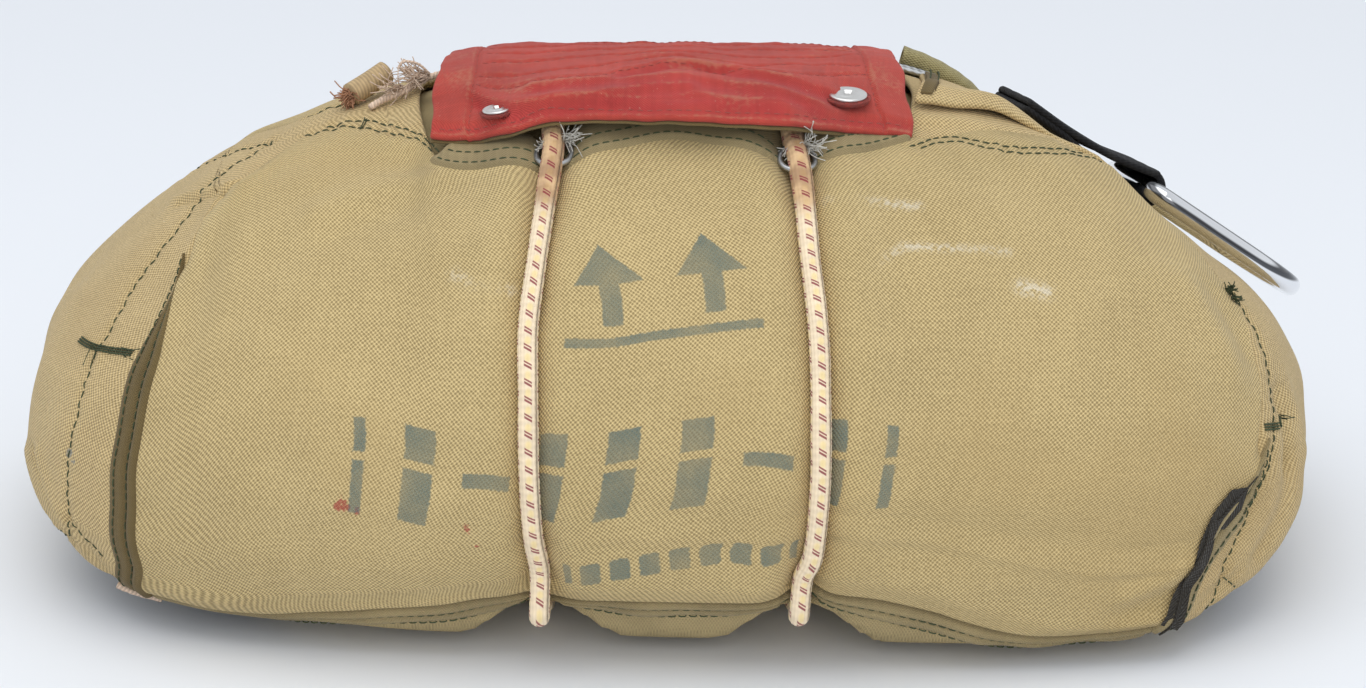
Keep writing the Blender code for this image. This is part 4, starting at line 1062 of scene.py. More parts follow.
# Places of the ink, in metres along and up the front panel's cloth.
INK = {"arrows": (-0.0137, 0.0213), "bars": (-0.0196, -0.0334), "dots": (0.0056, -0.0650)}
PANEL_CANVAS = canvas("canvas_panel", PANEL_BASE, marks=True, ink=INK)
FAR_CANVAS = canvas("canvas_far", PANEL_BASE, marks=True)
END_CANVAS = canvas("canvas_end", (0.510, 0.385, 0.190), marks=True)
ROLL_CLOTH = canvas("canvas_olive", (0.300, 0.260, 0.120), contrast=0.34)
# Near-black canvas that serves as painted shade in the open slit.
PAINTED_SHADE_CANVAS = canvas("canvas_painted_shade", (0.020, 0.016, 0.010))
# Lining whose near-black second colour is painted shade.
PAD_CLOTH = lining("canvas_lining_painted_shade", (0.40, 0.31, 0.155), (0.012, 0.011, 0.009))
OLIVE_TAPE = herringbone("olive_tape_twill", (0.145, 0.100, 0.034))
FOOT_TAPE = herringbone("olive_tape_foot", (0.290, 0.225, 0.110))
RED_QUILT = red_cloth("red_quilt_twill", (0.43, 0.048, 0.032))
CORD_CLOTH = cord_cover("cord_cover_braid", (0.86, 0.70, 0.50), FULL_TURN * CORD_RADIUS)
STUB_CLOTH = yarn_paint("cord_cover_stub", (0.42, 0.30, 0.16))
STUB_CORE = yarn_paint("cord_cover_core", (0.40, 0.20, 0.11))
GREEN_THREAD = yarn_paint("canvas_thread", (0.052, 0.068, 0.030))
RED_THREAD = yarn_paint("red_quilt_thread", (0.34, 0.075, 0.060))
WHITE_THREAD = yarn_paint("cord_cover_fray", (0.62, 0.60, 0.54))
TWINE_YARN = yarn_paint("twine_yarn", (0.66, 0.50, 0.38))
WEBBING = webbing("black_webbing_ribbed", (0.009, 0.009, 0.010))
# The chrome carries a painted dark reflection band on faces turned partly up and to the front.
CHROME = metal("chrome_plate", (0.86, 0.87, 0.89), 0.05, 0.10, (0.30, -0.62, 0.72))
STEEL = metal("steel_wire_worn", (0.45, 0.46, 0.47), 0.28, 0.25)
NICKEL = metal("nickel_worn", (0.72, 0.71, 0.69), 0.20, 0.25)


# ---------------------------------------------------------------- canvas panels
def along_rows(points):
    """Distance of each grid point from the first and from the last point of its row."""
    run = run_along(points.transpose(1, 0, 2)).T
    return run, run[:, -1:] - run


def join(height, slit):
    """From 0 beside the slit to 1 where the two cloths are sewn together above it."""
    return ease((height - slit + JOIN_START) / JOIN_LENGTH)


def side_panel(name, mirror, kind, nodes):
    """A long side panel, whose edges run into its neighbours wherever no slit parts them."""
    edges = [full(mirror(rows)) for rows in (FRONT_BOTTOM, FRONT_TOP, FRONT_LEFT, PANEL_RIGHT)]
    edges[0] = edges[0] + (0.0, 0.0, PANEL_FOOT)
    edges[2][0], edges[3][0] = edges[0][0], edges[0][-1]
    grid = patch(*edges, PANEL_ROWS, PANEL_COLUMNS)
    place = laid(grid)
    left, right = along_rows(place)
    top = along_rows(place.transpose(1, 0, 2))[1].T
    lift = np.full(left.shape, PANEL_PROUD)
    for gap, joined in ((left, join(place[:, :1, 2], SLIT_TOPS[-1])),
                        (right, join(place[:, -1:, 2], SLIT_TOPS[1])),
                        (top, ease((np.abs(place[-1:, :, 0]) - 0.070) / 0.012))):
        lift = lift - joined * PANEL_PROUD * (1.0 - ease((gap - 0.004) / 0.016))
        lift = lift - joined * JOIN_DEPTH * (1.0 - ease(gap / 0.0045))
    points, normals = on_surface(grid, np.maximum(lift, -0.0045))
    return cloth_piece(name, points, normals, kind, nodes=nodes)


def tape_share(facing, height):
    """How much of its full width a side tape shows at each height."""
    start, end = TAPE_TAPER[facing]
    return 1.0 - 0.92 * ease((height - start) / (end - start))


def end_line(facing, mirror, count):
    """The edge of a side panel beside an end panel, from its foot up and along the top."""
    rows = FRONT_LEFT if facing < 0 else FRONT_RIGHT
    top = through(full(mirror(FRONT_TOP)))
    top = top[facing * top[:, 0] > END_PANEL_TIP][::-facing]
    side = through(full(mirror(rows)))
    return even(np.vstack((side[:-1], top)), count), -facing * mirror((0.0, 1.0, 0.0))[1]


def end_panel(name, facing, bottom_rows, nodes):
    """An end panel, from one side panel round to the other and up under the red flap."""
    edges = []
    for mirror in (np.asarray, far_side):
        line, outward = end_line(facing, mirror, END_PANEL_ROWS)
        height = laid(line)[:, 2]
        beyond = TAPE_SPAN * tape_share(facing, height) - 0.0010
        joined = join(height, SLIT_TOPS[facing])
        edges.append(beside(line, outward * (beyond * (1.0 - joined) - 0.008 * joined)))
    bottom = full(bottom_rows)
    bottom[0], bottom[-1] = edges[0][0], edges[1][0]
    top = np.linspace(edges[0][-1], edges[1][-1], END_PANEL_COLUMNS)
    grid = patch(bottom, top, *edges, END_PANEL_ROWS, END_PANEL_COLUMNS)
    place = laid(grid)
    lift = np.zeros(grid.shape[:2])
    for gap, side in zip(along_rows(place), (0, -1)):
        joined = join(place[:, side, 2], SLIT_TOPS[facing])[:, None]
        lift = lift - joined * JOIN_DEPTH * (1.0 - ease(gap / 0.006))
    points, normals = on_surface(grid, lift)
    return cloth_piece(name, points, normals, END_CANVAS, nodes=nodes)


def side_tape(name, facing, mirror, seams, nodes):
    """A binding down a slit: a rolled twill edge, then flat tape between two rows of stitches."""
    line, outward = end_line(facing, mirror, TAPE_ROWS)
    height = laid(line)[:, 2]
    shown = height < TAPE_TAPER[facing][1]
    line, share = line[shown], tape_share(facing, height[shown])
    grid = np.stack([beside(line, outward * distance * share)
                     for distance, _ in TAPE_PROFILE], axis=1)
    lift = TAPE_PROFILE[:, 1] * np.ones((len(line), 1))
    lift[:, 1:] -= 0.0012 * (1.0 - share[:, None])
    points, normals = on_surface(grid, lift)
    for distance, rise in TAPE_STITCHES:
        seams.append((beside(line, outward * distance * share), rise))
    kind = OLIVE_TAPE if facing < 0 else FOOT_TAPE
    return cloth_piece(name, points, normals, kind, nodes=nodes)


def open_gap(name, mirror):
    """A near-black sheet of painted shade inside the right slit, where the side panel is pulled off
    its tape.
    """
    heights, inner, outer = GAP_EDGES.T
    line = through(full(mirror(FRONT_RIGHT)))
    line = line[np.argsort(line[:, 2])]
    middle = sampled(line, line[:, 2], heights)
    outward = -mirror((0.0, 1.0, 0.0))[1]
    grid = np.stack([beside(middle, outward * (inner + (outer - inner) * share))
                     for share in np.linspace(0.0, 1.0, 8)], axis=1)
    points, normals = on_surface(grid, GAP_LIFT)
    return cloth_piece(name, points, normals, PAINTED_SHADE_CANVAS, 0.0006)


def hem_band(name, mirror, seams, nodes):
    """The bound and doubly stitched top edge of a side panel, seen under the red flap."""
    line = through(full(mirror(FRONT_TOP)))
    line = even(line[(line[:, 0] > HEM_ENDS[0]) & (line[:, 0] < HEM_ENDS[1])],
                HEM_COLUMNS)
    upward = mirror((0.0, 1.0, 0.0))[1]
    grid = np.stack([beside(line, upward * distance) for distance, _ in HEM_PROFILE])
    points, normals = on_surface(grid, HEM_PROFILE[:, 1:] * np.ones(len(line)))
    for distance, rise in HEM_STITCHES:
        seams.append((beside(line, upward * distance), rise))
    return cloth_piece(name, points, normals, FOOT_TAPE, nodes=nodes)


def foot_line(mirror, count):
    """The lower edge of a side panel, and the share of its width that the binding shows."""
    line = smooth_line(full(mirror(FRONT_BOTTOM)), count)
    return line, np.interp(line[:, 0], *FLANGE_DEPTH.T) / FLANGE_FULL


def foot_tape(name, mirror, seams, nodes):
    """The binding along the foot, under the edge of a side panel."""
    line, share = foot_line(mirror, FOOT_COLUMNS)
    place = run_along(line)
    ruffle = 0.0005 * np.sin(place * 210.0 + 1.5 * np.sin(place * 47.0))

    def lowered(drop):
        return on_skin(line - np.outer(drop * share, (0.0, 0.0, 1.0)))

    grid = np.stack([lowered(drop) for drop, _ in FOOT_PROFILE])
    lower = ease(np.arange(len(FOOT_PROFILE)) / len(FOOT_PROFILE))[:, None]
    points, normals = on_surface(grid, FOOT_PROFILE[:, 1:] + ruffle * lower)
    for drop, rise in FOOT_STITCHES:
        seams.append((lowered(drop), rise))
    return cloth_piece(name, points, normals, FOOT_TAPE, nodes=nodes)


def body_pad():
    """The filled pack under the panels, flat where it lies."""
    turns = np.linspace(0.0, FULL_TURN, PAD_SIDES, endpoint=False)
    levels = np.concatenate(((0.0, 0.0015), np.arange(0.003, 0.030, 0.0012),
                             np.linspace(0.031, 0.1532, 38)))
    left, right, front, far, square = [column[:, None] for column in section_at(levels)]
    across, deep = (np.sign(wave) * np.abs(wave) ** (2.0 / square)
                    for wave in (np.cos(turns), np.sin(turns)))
    rings = np.stack(((left + right) / 2 + (right - left) / 2 * across,
                      (front + far) / 2 + (far - front) / 2 * deep,
                      np.broadcast_to(levels[:, None], across.shape)), axis=-1)
    rings = np.array([even(np.vstack((ring, ring[:1])), PAD_SIDES + 1)[:-1] for ring in rings])
    rings = laid(rings)
    wrapped = np.concatenate((rings[:, -1:], rings, rings[:, :1]), axis=1)
    foot_x, foot_z = laid(foot_line(np.asarray, 120)[0])[:, (0, 2)].T
    foot = np.interp(rings[..., 0], foot_x, foot_z) - 0.0062
    inset = 0.0012 + 0.0033 * ease((rings[..., 2] - foot) / 0.0035)
    rings = rings - grid_normals(wrapped, HEART)[:, 1:-1] * inset[..., None]
    rings[0, :, 2] = 0.0
    rings[1:, :, 2] = np.maximum(rings[1:, :, 2], 0.0012)
    inner = rings[:1] * np.array((0.45, 0.70, 0.88))[:, None, None]
    rings = np.concatenate((inner, rings))
    foot = np.concatenate((foot[:1], foot[:1], foot[:1], foot))
    turn_y, turn_z = CORD_TURN.T
    lowest = np.interp(-np.abs(rings[..., 1]), turn_y, turn_z + 0.0024, right=0.0)
    for turn in TURNS.values():
        pinch = bell(np.maximum(np.abs(rings[..., 0] - turn) - 0.0030, 0.0), 0.0190)
        rings[..., 2] = np.maximum(rings[..., 2], lowest * pinch)
    for line in CORD_LINES:
        gap, _ = near(rings, line)
        rings = rings - unit(rings - HEART) * (0.0040 * bell(gap, 0.0075))[..., None]
    uv = np.stack((rings[..., 0], rings[..., 2] + rings[..., 1]), axis=-1)
    marks = np.zeros(rings.shape[:2] + (4,))
    # Fourth channel: painted shade, dark from just above the foot where the panels close over the pad,
    # fading out between 90 and 120 mm up.
    marks[..., 3] = ease((rings[..., 2] - foot - 0.0010) / 0.0030)
    marks[..., 3] *= 1.0 - 0.97 * ease((rings[..., 2] - 0.0900) / 0.0300)
    piece = make("body_pad", rings.reshape(-1, 3), ring_faces(len(rings), PAD_SIDES), PAD_CLOTH,
                 uv.reshape(-1, 2), ["pack_body"], marks.reshape(-1, 4))


# ---------------------------------------------------------------- stitches and threads
def stitch_row(heap, line, rise, pitch=STITCH, dash=DASH, radius=THREAD, surface=on_surface):
    """A row of short raised stitches along a line of full-skin points."""
    along = run_along(laid(line))
    starts = np.arange(0.4 * pitch, along[-1] - dash, pitch)
    points, normals = surface(sampled(line, along, starts[:, None] + dash * STITCH_SHARES), rise)
    lifts = radius * np.array((-1.1, 0.2, 0.45, 0.2, -1.1))
    for stitch in points + normals * lifts[:, None]:
        heap.tube(stitch, radius)


def over_panels(panels):
    """A lookup of the finished cloth: points on the uppermost panel over full-skin points."""
    trees = []
    for panel in panels:
        mesh = panel.data
        places = [corner.co for corner in mesh.vertices]
        trees.append(BVHTree.FromPolygons(places, [face.vertices for face in mesh.polygons]))

    def lookup(points, rise):
        place, normal = skin(points)
        place = place.copy()
        for index in np.ndindex(points.shape[:-1]):
            start = Vector(place[index] + normal[index] * CAST_START)
            hits = [tree.ray_cast(start, -Vector(normal[index]), CAST_REACH)[3] for tree in trees]
            depth = min([hit for hit in hits if hit is not None], default=CAST_START)
            place[index] += normal[index] * (CAST_START - depth + rise)
        return place, normal
    return lookup


# ---------------------------------------------------------------- opening cords
def cord_route(rows, mirror):
    """Middle of a cord along the pack, from its end down to its turn."""
    route = []
    for *row, rise in rows:
        place, normal = skin(full(mirror(row))[None])
        depth = CORD_RADIUS - SHEATH_SINK + 0.8 * rise
        route.append((place + normal * (relief_without_cords(place) + depth)[..., None])[0])
    return route


def opening_cord(name, rows, turn, nodes):
    """A braided cord from the front eye, down, under the pack and up to the far hem."""
    lead = (rows[0][0] * 0.99, -0.0300, 0.1490, 0.0026)
    tucked = [(rows[1][0], -0.0475, 0.1400, -0.0060), (rows[1][0], -0.0530, 0.1360, -0.0010)]
    lower = rows[FAR_START:]
    lower = np.column_stack((lower[:, :3], rows[:len(lower), 3]))
    front = cord_route([lead, *rows], np.asarray) + [(turn, y, z) for y, z in CORD_TURN]
    far = cord_route([*tucked, *lower], far_side) + [(turn, -y, z) for y, z in CORD_TURN]
    line = through(np.vstack((front, far[::-1])), 10)
    line = even(line, int(run_along(line)[-1] / CORD_STEP))

    def plaited(turns, places):
        crossing = (np.sin(BRAID_TURNS * turns + BRAID_RUN * places)
                    * np.sin(BRAID_TURNS * turns - BRAID_RUN * places))
        soft = np.sin(places * 310.0) + np.sin(places * 173.0 + 1.0)
        return 1.0 + 0.030 * crossing + 0.012 * soft

    heap = Heap()
    worn = ease((line[:, 2] - 0.128) / 0.010) * ease(-line[:, 1] / 0.01)
    heap.tube(line, CORD_RADIUS * (1.0 + 0.10 * worn), 32, shape=plaited)
    heap.piece(name, CORD_CLOTH, nodes, "cord_cover")


def tilted(normal):
    """Rotation that stands a part on its cloth."""
    return np.array(Vector(normal).to_track_quat("Z", "X").to_matrix())


def wire_eye(name, row, mirror):
    """A ring of steel wire lying on the cloth under its cord."""
    place, normal = skin(full(mirror(row[:3]))[None])
    turns = np.linspace(0.0, FULL_TURN, 40, endpoint=False)
    flat = np.stack((EYE_RADIUS * np.cos(turns), EYE_RADIUS * np.sin(turns),
                     0.0016 + 0.0005 * np.cos(2.0 * turns)), axis=1)
    heap = Heap()
    heap.tube(place[0] + flat @ tilted(normal[0]).T, EYE_WIRE, 12, closed=True)
    heap.piece("eye_wire_" + name, STEEL, ["eye_" + name], "steel_wire")


# ---------------------------------------------------------------- red quilted flap
def flap_surface(along, share, rise=0.0):
    """The red flap's upper face, by x along its front edge and share of the way back."""
    front_y, far_x, front, middle, far = [np.interp(along, FLAP[:, 0], column)
                                          for column in FLAP.T[1:]]
    across = along + (far_x - along) * share
    deep = front_y + (FLAP_FAR - front_y) * share
    place, normals = skin(above(across, deep))
    height = front + (middle - front) * ease(2.5 * share)
    height = height + (far - middle) * ease(2.0 * share - 1.0) + FLAP_THICKNESS
    height = height + flap_relief(along, share)[0] + rise
    return place + normals * height[..., None], normals


def flap_line(rows, along):
    """Share of the way back at which a line crosses the flap, and a fade at its ends."""
    x, share = smooth_line(rows, 60).T
    fade = ease((along - x[0]) / 0.006) * ease((x[-1] - along) / 0.006)
    return np.interp(along, x, share), fade


def flap_relief(along, share):
    """Quilting, creases and hems of the red flap, with how rubbed and how fresh it is."""
    flat = np.stack((along, share * FLAP_DEPTH, np.zeros(along.shape)), axis=-1)
    height = 0.0005 * waves(flat, 0.030, 11) + 0.00022 * waves(flat, 0.010, 12)
    rubbed = 0.25 * waves(flat, 0.020, 13)
    fresh = np.zeros(along.shape)
    for index, rows in enumerate(QUILT_ROWS):
        place, fade = flap_line(rows, along)
        gap = (place - share) * FLAP_DEPTH
        pucker = 0.8 + 0.3 * np.sin(along * 1500.0 + index)
        height = height - fade * pucker * (0.0008 * bell(gap, 0.0011) - 0.0002 * bell(gap, 0.0035))
        rubbed = rubbed + 0.30 * fade * bell(np.abs(gap) - 0.0020, 0.0009)
    for rows, lift in RED_CREASES:
        place, fade = flap_line(rows, along)
        gap = (place - share) * FLAP_DEPTH
        ridge = np.where(gap < 0.0, bell(gap, 0.0045), bell(gap, 0.0016))
        height = height + lift * fade * (ridge - 0.9 * bell(gap - 0.0042, 0.0027))
        rubbed = rubbed + 0.6 * fade * bell(gap, 0.0008)
        fresh = np.maximum(fresh, fade * bell(gap - 0.0035, 0.0030))
    for line, outward in zip(HEM_LINES, (-1.0, 1.0)):
        gap = outward * (along - np.interp(share, line[:, 1], line[:, 0]))
        height = height + 0.0005 * ease(gap / 0.0008) - 0.0005 * bell(gap, 0.0007)
        rubbed = rubbed + 0.5 * bell(gap - 0.0012, 0.0007) + 0.25 * ease(gap / 0.004)
    height = height - 0.0022 * (1.0 - ease(share / 0.060))
    front = 1.0 - ease(share / 0.055)
    fresh = np.maximum(fresh, 0.9 * front * ease(share / 0.012))
    rubbed = rubbed + 0.6 * bell(share * FLAP_DEPTH, 0.0008)
    return height, np.clip(rubbed, 0.0, 1.0), np.clip(fresh, 0.0, 1.0)


def red_flap():
    """The quilted flap, its olive backing and its rows of stitching."""
    along, share = np.meshgrid(np.linspace(FLAP[0, 0], FLAP[-1, 0], FLAP_COLUMNS),
                               np.linspace(0.0, 1.0, FLAP_ROWS))
    along = along + 0.0006 * np.sin(share * 21.0 + along * 4.0) * np.abs(along) / 0.07
    points, normals = flap_surface(along, share)
    _, rubbed, fresh = flap_relief(along, share)
    everything, faces, uv = sheet_mesh(points, normals, 0.0022, True)
    marks = np.zeros((len(everything), 4))
    marks[:, 3] = 1.0
    marks[:rubbed.size, 0] = rubbed.ravel()
    marks[:fresh.size, 1] = fresh.ravel()
    flap = make("ripcord_flap_quilt", everything, faces, RED_QUILT, uv, ["ripcord_flap"],
                marks)
    middle = (FLAP[0, 0] + FLAP[-1, 0]) / 2
    wider = middle + (along - middle) * 1.012
    points, normals = flap_surface(wider, share * 1.03 - 0.015, -0.0021)
    backing = cloth_piece("ripcord_flap_backing", points[::2, ::2], normals[::2, ::2],
                          OLIVE_TAPE, 0.0008, True, ())
    heap = Heap()
    for rows in QUILT_ROWS:
        flap_stitches(heap, smooth_line(rows, 90), FLAP_PITCH)
    for rows in HEM_LINES:
        flap_stitches(heap, smooth_line(rows, 60), FLAP_HEM_PITCH)
    x = np.linspace(FLAP[0, 0] * 0.985, FLAP[-1, 0] * 0.985, 90)
    for share in (0.022, 0.978):
        flap_stitches(heap, np.stack((x, np.full(90, share)), axis=1), FLAP_HEM_PITCH)
    return flap, [backing, heap.piece("ripcord_flap_stitches", RED_THREAD, (), "red_quilt")]


def flap_stitches(heap, line, pitch):
    """Stitches along a line on the red flap."""
    run = run_along(line * (1.0, FLAP_DEPTH))
    starts = np.arange(0.3 * pitch, run[-1] - 0.7 * pitch, pitch)
    wanted = starts[:, None] + 0.68 * pitch * np.array((0.0, 0.2, 0.5, 0.8, 1.0))
    along, share = np.moveaxis(sampled(line, run, wanted), -1, 0)
    points, normals = flap_surface(along, share)
    lifts = FLAP_THREAD * np.array((-1.4, 0.1, 0.4, 0.1, -1.4))
    for stitch in points + normals * lifts[:, None]:
        heap.tube(stitch, FLAP_THREAD)


def lathe(name, kind, nodes, middle, normal, profile, sides, shape):
    """A turned part standing on a point, open towards the cloth."""
    turns = np.linspace(0.0, FULL_TURN, sides, endpoint=False)
    rings = []
    for radius, rise in profile:
        size = radius * shape(turns, radius)
        rings.append(np.stack((size * np.cos(turns), size * np.sin(turns),
                               np.full(sides, rise)), axis=1))
    points = np.concatenate(rings) @ tilted(normal).T + middle
    rows = np.repeat(np.linspace(0.0, 1.0, len(profile)), sides)
    uv = np.stack((np.tile(turns, len(profile)), rows), axis=1)
    make(name, points, ring_faces(len(profile), sides), kind, uv, nodes)


def clinched(turns, radius):
    """Scallops of a snap's centre."""
    star = 0.16 * np.cos(6.0 * turns) if radius < STAR_RADIUS else 0.0 * turns
    return 1.0 + star * (STAR_RADIUS - radius) / STAR_RADIUS


def snaps():
    """Two snap caps with rolled rims and clinched star centres, on red washers."""
    for name, along, share, normal, size in (
            ("snap_left", -0.0479, 0.075, (-0.14, 0.0, 0.98), 0.78),
            ("snap_right", 0.0539, 0.125, (0.03, -0.06, 0.99), 1.0)):
        place = flap_surface(np.array((along,)), np.array((share,)))[0][0]
        normal = unit(np.array(normal))
        lathe(name + "_cap", NICKEL, [name], place + normal * 0.0013, normal,
              SNAP_CAP * size, 48, clinched)
        lathe(name + "_washer", RED_QUILT, (), place + normal * 0.0008, normal,
              SNAP_WASHER * size, 40, lambda turns, _: np.ones(len(turns)))


# ---------------------------------------------------------------- webbing and D-ring
def ring_frame():
    """Rotation of the D-ring: X along its reach, Y along its bar."""
    slope = Matrix.Rotation(RING_SLOPE, 3, "Y")
    return np.array(slope @ Matrix.Rotation(-RING_ROLL, 3, "X"))


def d_ring():
    """A ring of round bar, straight in the webbing and bowed outside it."""
    half = RING_WIDTH / 2
    corner_turns = np.radians(np.linspace(0.0, 90.0, 13))[1:-1]
    corner = [(RING_BEND * (1.0 - math.cos(turn)), half - RING_BEND * (1.0 - math.sin(turn)))
              for turn in corner_turns]
    bow = [(RING_REACH - half + half * math.sin(turn), half * math.cos(turn))
           for turn in np.linspace(0.0, math.pi, 57)]
    arm = [(x, half) for x in np.linspace(RING_BEND, RING_REACH - half, 8)[:-1]]
    bar = [(0.0, y) for y in np.linspace(RING_BEND - half, half - RING_BEND, 9)]
    outline = bar + corner + arm + bow + [(x, -y) for x, y in (corner + arm)[::-1]]
    heap = Heap()
    heap.tube(np.pad(outline, ((0, 0), (0, 1))) @ ring_frame().T + RING_BAR, RING_STOCK, 40,
              closed=True)
    heap.piece("d_ring_bar", CHROME, ["d_ring"], "chrome")


def strap():
    """Ribbed black webbing looped round the D-ring's bar and sewn up the pack's slope."""
    middle = RING_STOCK + STRAP_CLEAR + STRAP_THICKNESS / 2
    upper, lower = ([(-row[0], row[face] + STRAP_THICKNESS / 2) for row in STRAP_TAIL]
                    for face in (2, 1))
    loop = [(middle * math.sin(turn), middle * math.cos(turn))
            for turn in np.linspace(0.0, math.pi, 41)]
    path = smooth_line([(x, 0.0, z) for x, z in upper + loop + lower[::-1]], 190)
    run = unit(np.gradient(path, axis=0))
    outward = np.stack((-run[:, 2], run[:, 1], run[:, 0]), axis=1)
    width = np.linspace(-0.5, 0.5, 44)
    edge = 1.0 - ease((np.abs(width) - 0.46) / 0.04) * 0.30
    rib = 0.00012 * np.sin(width * FULL_TURN * 20.0)
    grid = path[:, None] + width[:, None] * np.array((0.0, STRAP_WIDTH, 0.0))
    grid = grid + outward[:, None] * (STRAP_THICKNESS / 2 * edge + rib)[:, None]
    points = grid @ ring_frame().T + RING_BAR
    normals = np.broadcast_to((outward @ ring_frame().T)[:, None], points.shape)
    everything, faces, uv = sheet_mesh(points, normals, STRAP_THICKNESS * 0.94, True)
    make("strap_webbing_loop", everything, faces, WEBBING, uv, ["strap_webbing"])


# ---------------------------------------------------------------- small pieces on the top
def edge_roll():
    """The far panel's rolled edge: an open canvas tube with another turn inside it."""
    rows = even(through(ROLL), ROLL_RINGS) * (1.0, 1.0, 1.0, 0.80)
    angles = np.linspace(0.0, FULL_TURN, ROLL_SIDES, endpoint=False)

    def arc(index, turns, wide, tall):
        x, y, _, height = rows[index]
        middle, outward = over_skin(x, y, height + ROLL_RISE)
        across = unit(np.cross(outward, (1.0, 0.0, 0.0)))
        return (middle + (wide * np.cos(turns))[:, None] * across
                + (tall * np.sin(turns))[:, None] * outward)

    def ring(index, wall):
        place = index / (len(rows) - 1)
        ripple = 1.0 + 0.035 * np.sin(3.0 * angles + 5.0 * place)
        ripple = ripple * (1.0 + 0.02 * np.sin(place * 40.0 + angles))
        return arc(index, angles, *((size - wall) * ripple for size in rows[index, 2:]))

    inside = [ring(index, ROLL_WALL) for index in range(ROLL_INSIDE - 1, -1, -1)]
    outside = [ring(index, 0.0) for index in range(ROLL_RINGS)]
    rings = np.array(inside + [(outside[0] + inside[-1]) * 0.5] + outside)
    uv = np.stack(np.meshgrid(angles * 0.0062, np.arange(len(rings)) * 0.0006), -1)
    tube = make("edge_roll_cloth", rings.reshape(-1, 3), ring_faces(*rings.shape[:2]), ROLL_CLOTH,
                uv.reshape(-1, 2), ["edge_roll"])
    curl = np.linspace(-0.6, 4.6, 40)
    shrink = np.linspace(0.62, 0.30, 40)
    grid = np.array([arc(index, curl, *(size * shrink for size in rows[index, 2:]))
                     for index in range(2, ROLL_INSIDE - 2)])
    normals = grid_normals(grid, grid.mean(axis=1, keepdims=True))
    everything, faces, uv = sheet_mesh(grid, normals, 0.0009, True)
    return tube, make("edge_roll_inner", everything, faces, ROLL_CLOTH, uv, ())


def corner_fold(seams):
    """The end panel's folded corner, lying thick over the top beside the red flap."""
    near_line, far_line = [smooth_line(full(line), FOLD_COLUMNS)
                           for line in (CORNER_FRONT, CORNER_FAR)]
    share = np.linspace(0.0, 1.0, FOLD_ROWS)[:, None]
    grid = on_skin(near_line * (1.0 - share[..., None]) + far_line * share[..., None])
    flat = laid(grid)
    swell = 0.0028 * bell(share - 0.18, 0.20) + 0.0012
    swell = swell * (1.0 - 0.95 * ease((flat[..., 0] - 0.0980) / 0.0200))
    swell = swell + 0.0007 * waves(flat, 0.020, 21) * (1.0 - share)
    swell = swell * ease(np.linspace(5.0, 0.0, FOLD_COLUMNS)) + 0.0008
    points, normals = on_surface(grid, swell)
    fold = cloth_piece("corner_fold_cloth", points, normals, END_CANVAS, 0.0022,
                       nodes=["corner_fold"])
    points, normals = on_surface(grid[2:-2, 1:8], swell[2:-2, 1:8] + BAND_RISE)
    band = cloth_piece("corner_fold_band", points, normals, OLIVE_TAPE, 0.0010)
    for column in (2, 7):
        seams.append((grid[3:-3, column], swell[3:-3, column].mean() + BAND_RISE))
    return [fold, band]


def small_tube(name, rows, radius, kind, nodes, slot, sides, step=0.0006, shape=None):
    """A short tube that follows the top of the pack."""
    points = [over_skin(*row)[0] for row in rows]
    length = run_along(smooth_line(points, 8))[-1]
    heap = Heap()
    heap.tube(smooth_line(points, max(8, int(length / step))), radius, sides, shape=shape)
    return heap.piece(name, kind, nodes, slot)


def twisted(plies, pitch):
    """Radius of a twisted cord, whose plies wind along it."""
    return lambda turns, places: 0.80 + 0.22 * np.abs(
        np.cos(plies * (turns - FULL_TURN * places / pitch) / 2.0))


def fray(heap, middle, way, length, spread, count, seed, radius=0.00011):
    """A tuft of loose fibres from a cut end."""
    chance = np.random.default_rng(seed)
    for _ in range(count):
        out = unit(np.asarray(way) + chance.normal(size=3) * spread)
        bend = unit(out + chance.normal(size=3) * 0.6)
        reach = length * chance.uniform(0.5, 1.1)
        start = middle + chance.normal(size=3) * 0.0006
        points = np.array((start, start + out * reach * 0.5, start + (out + bend) * reach * 0.5))
        heap.tube(smooth_line(points, 6), radius, 4)


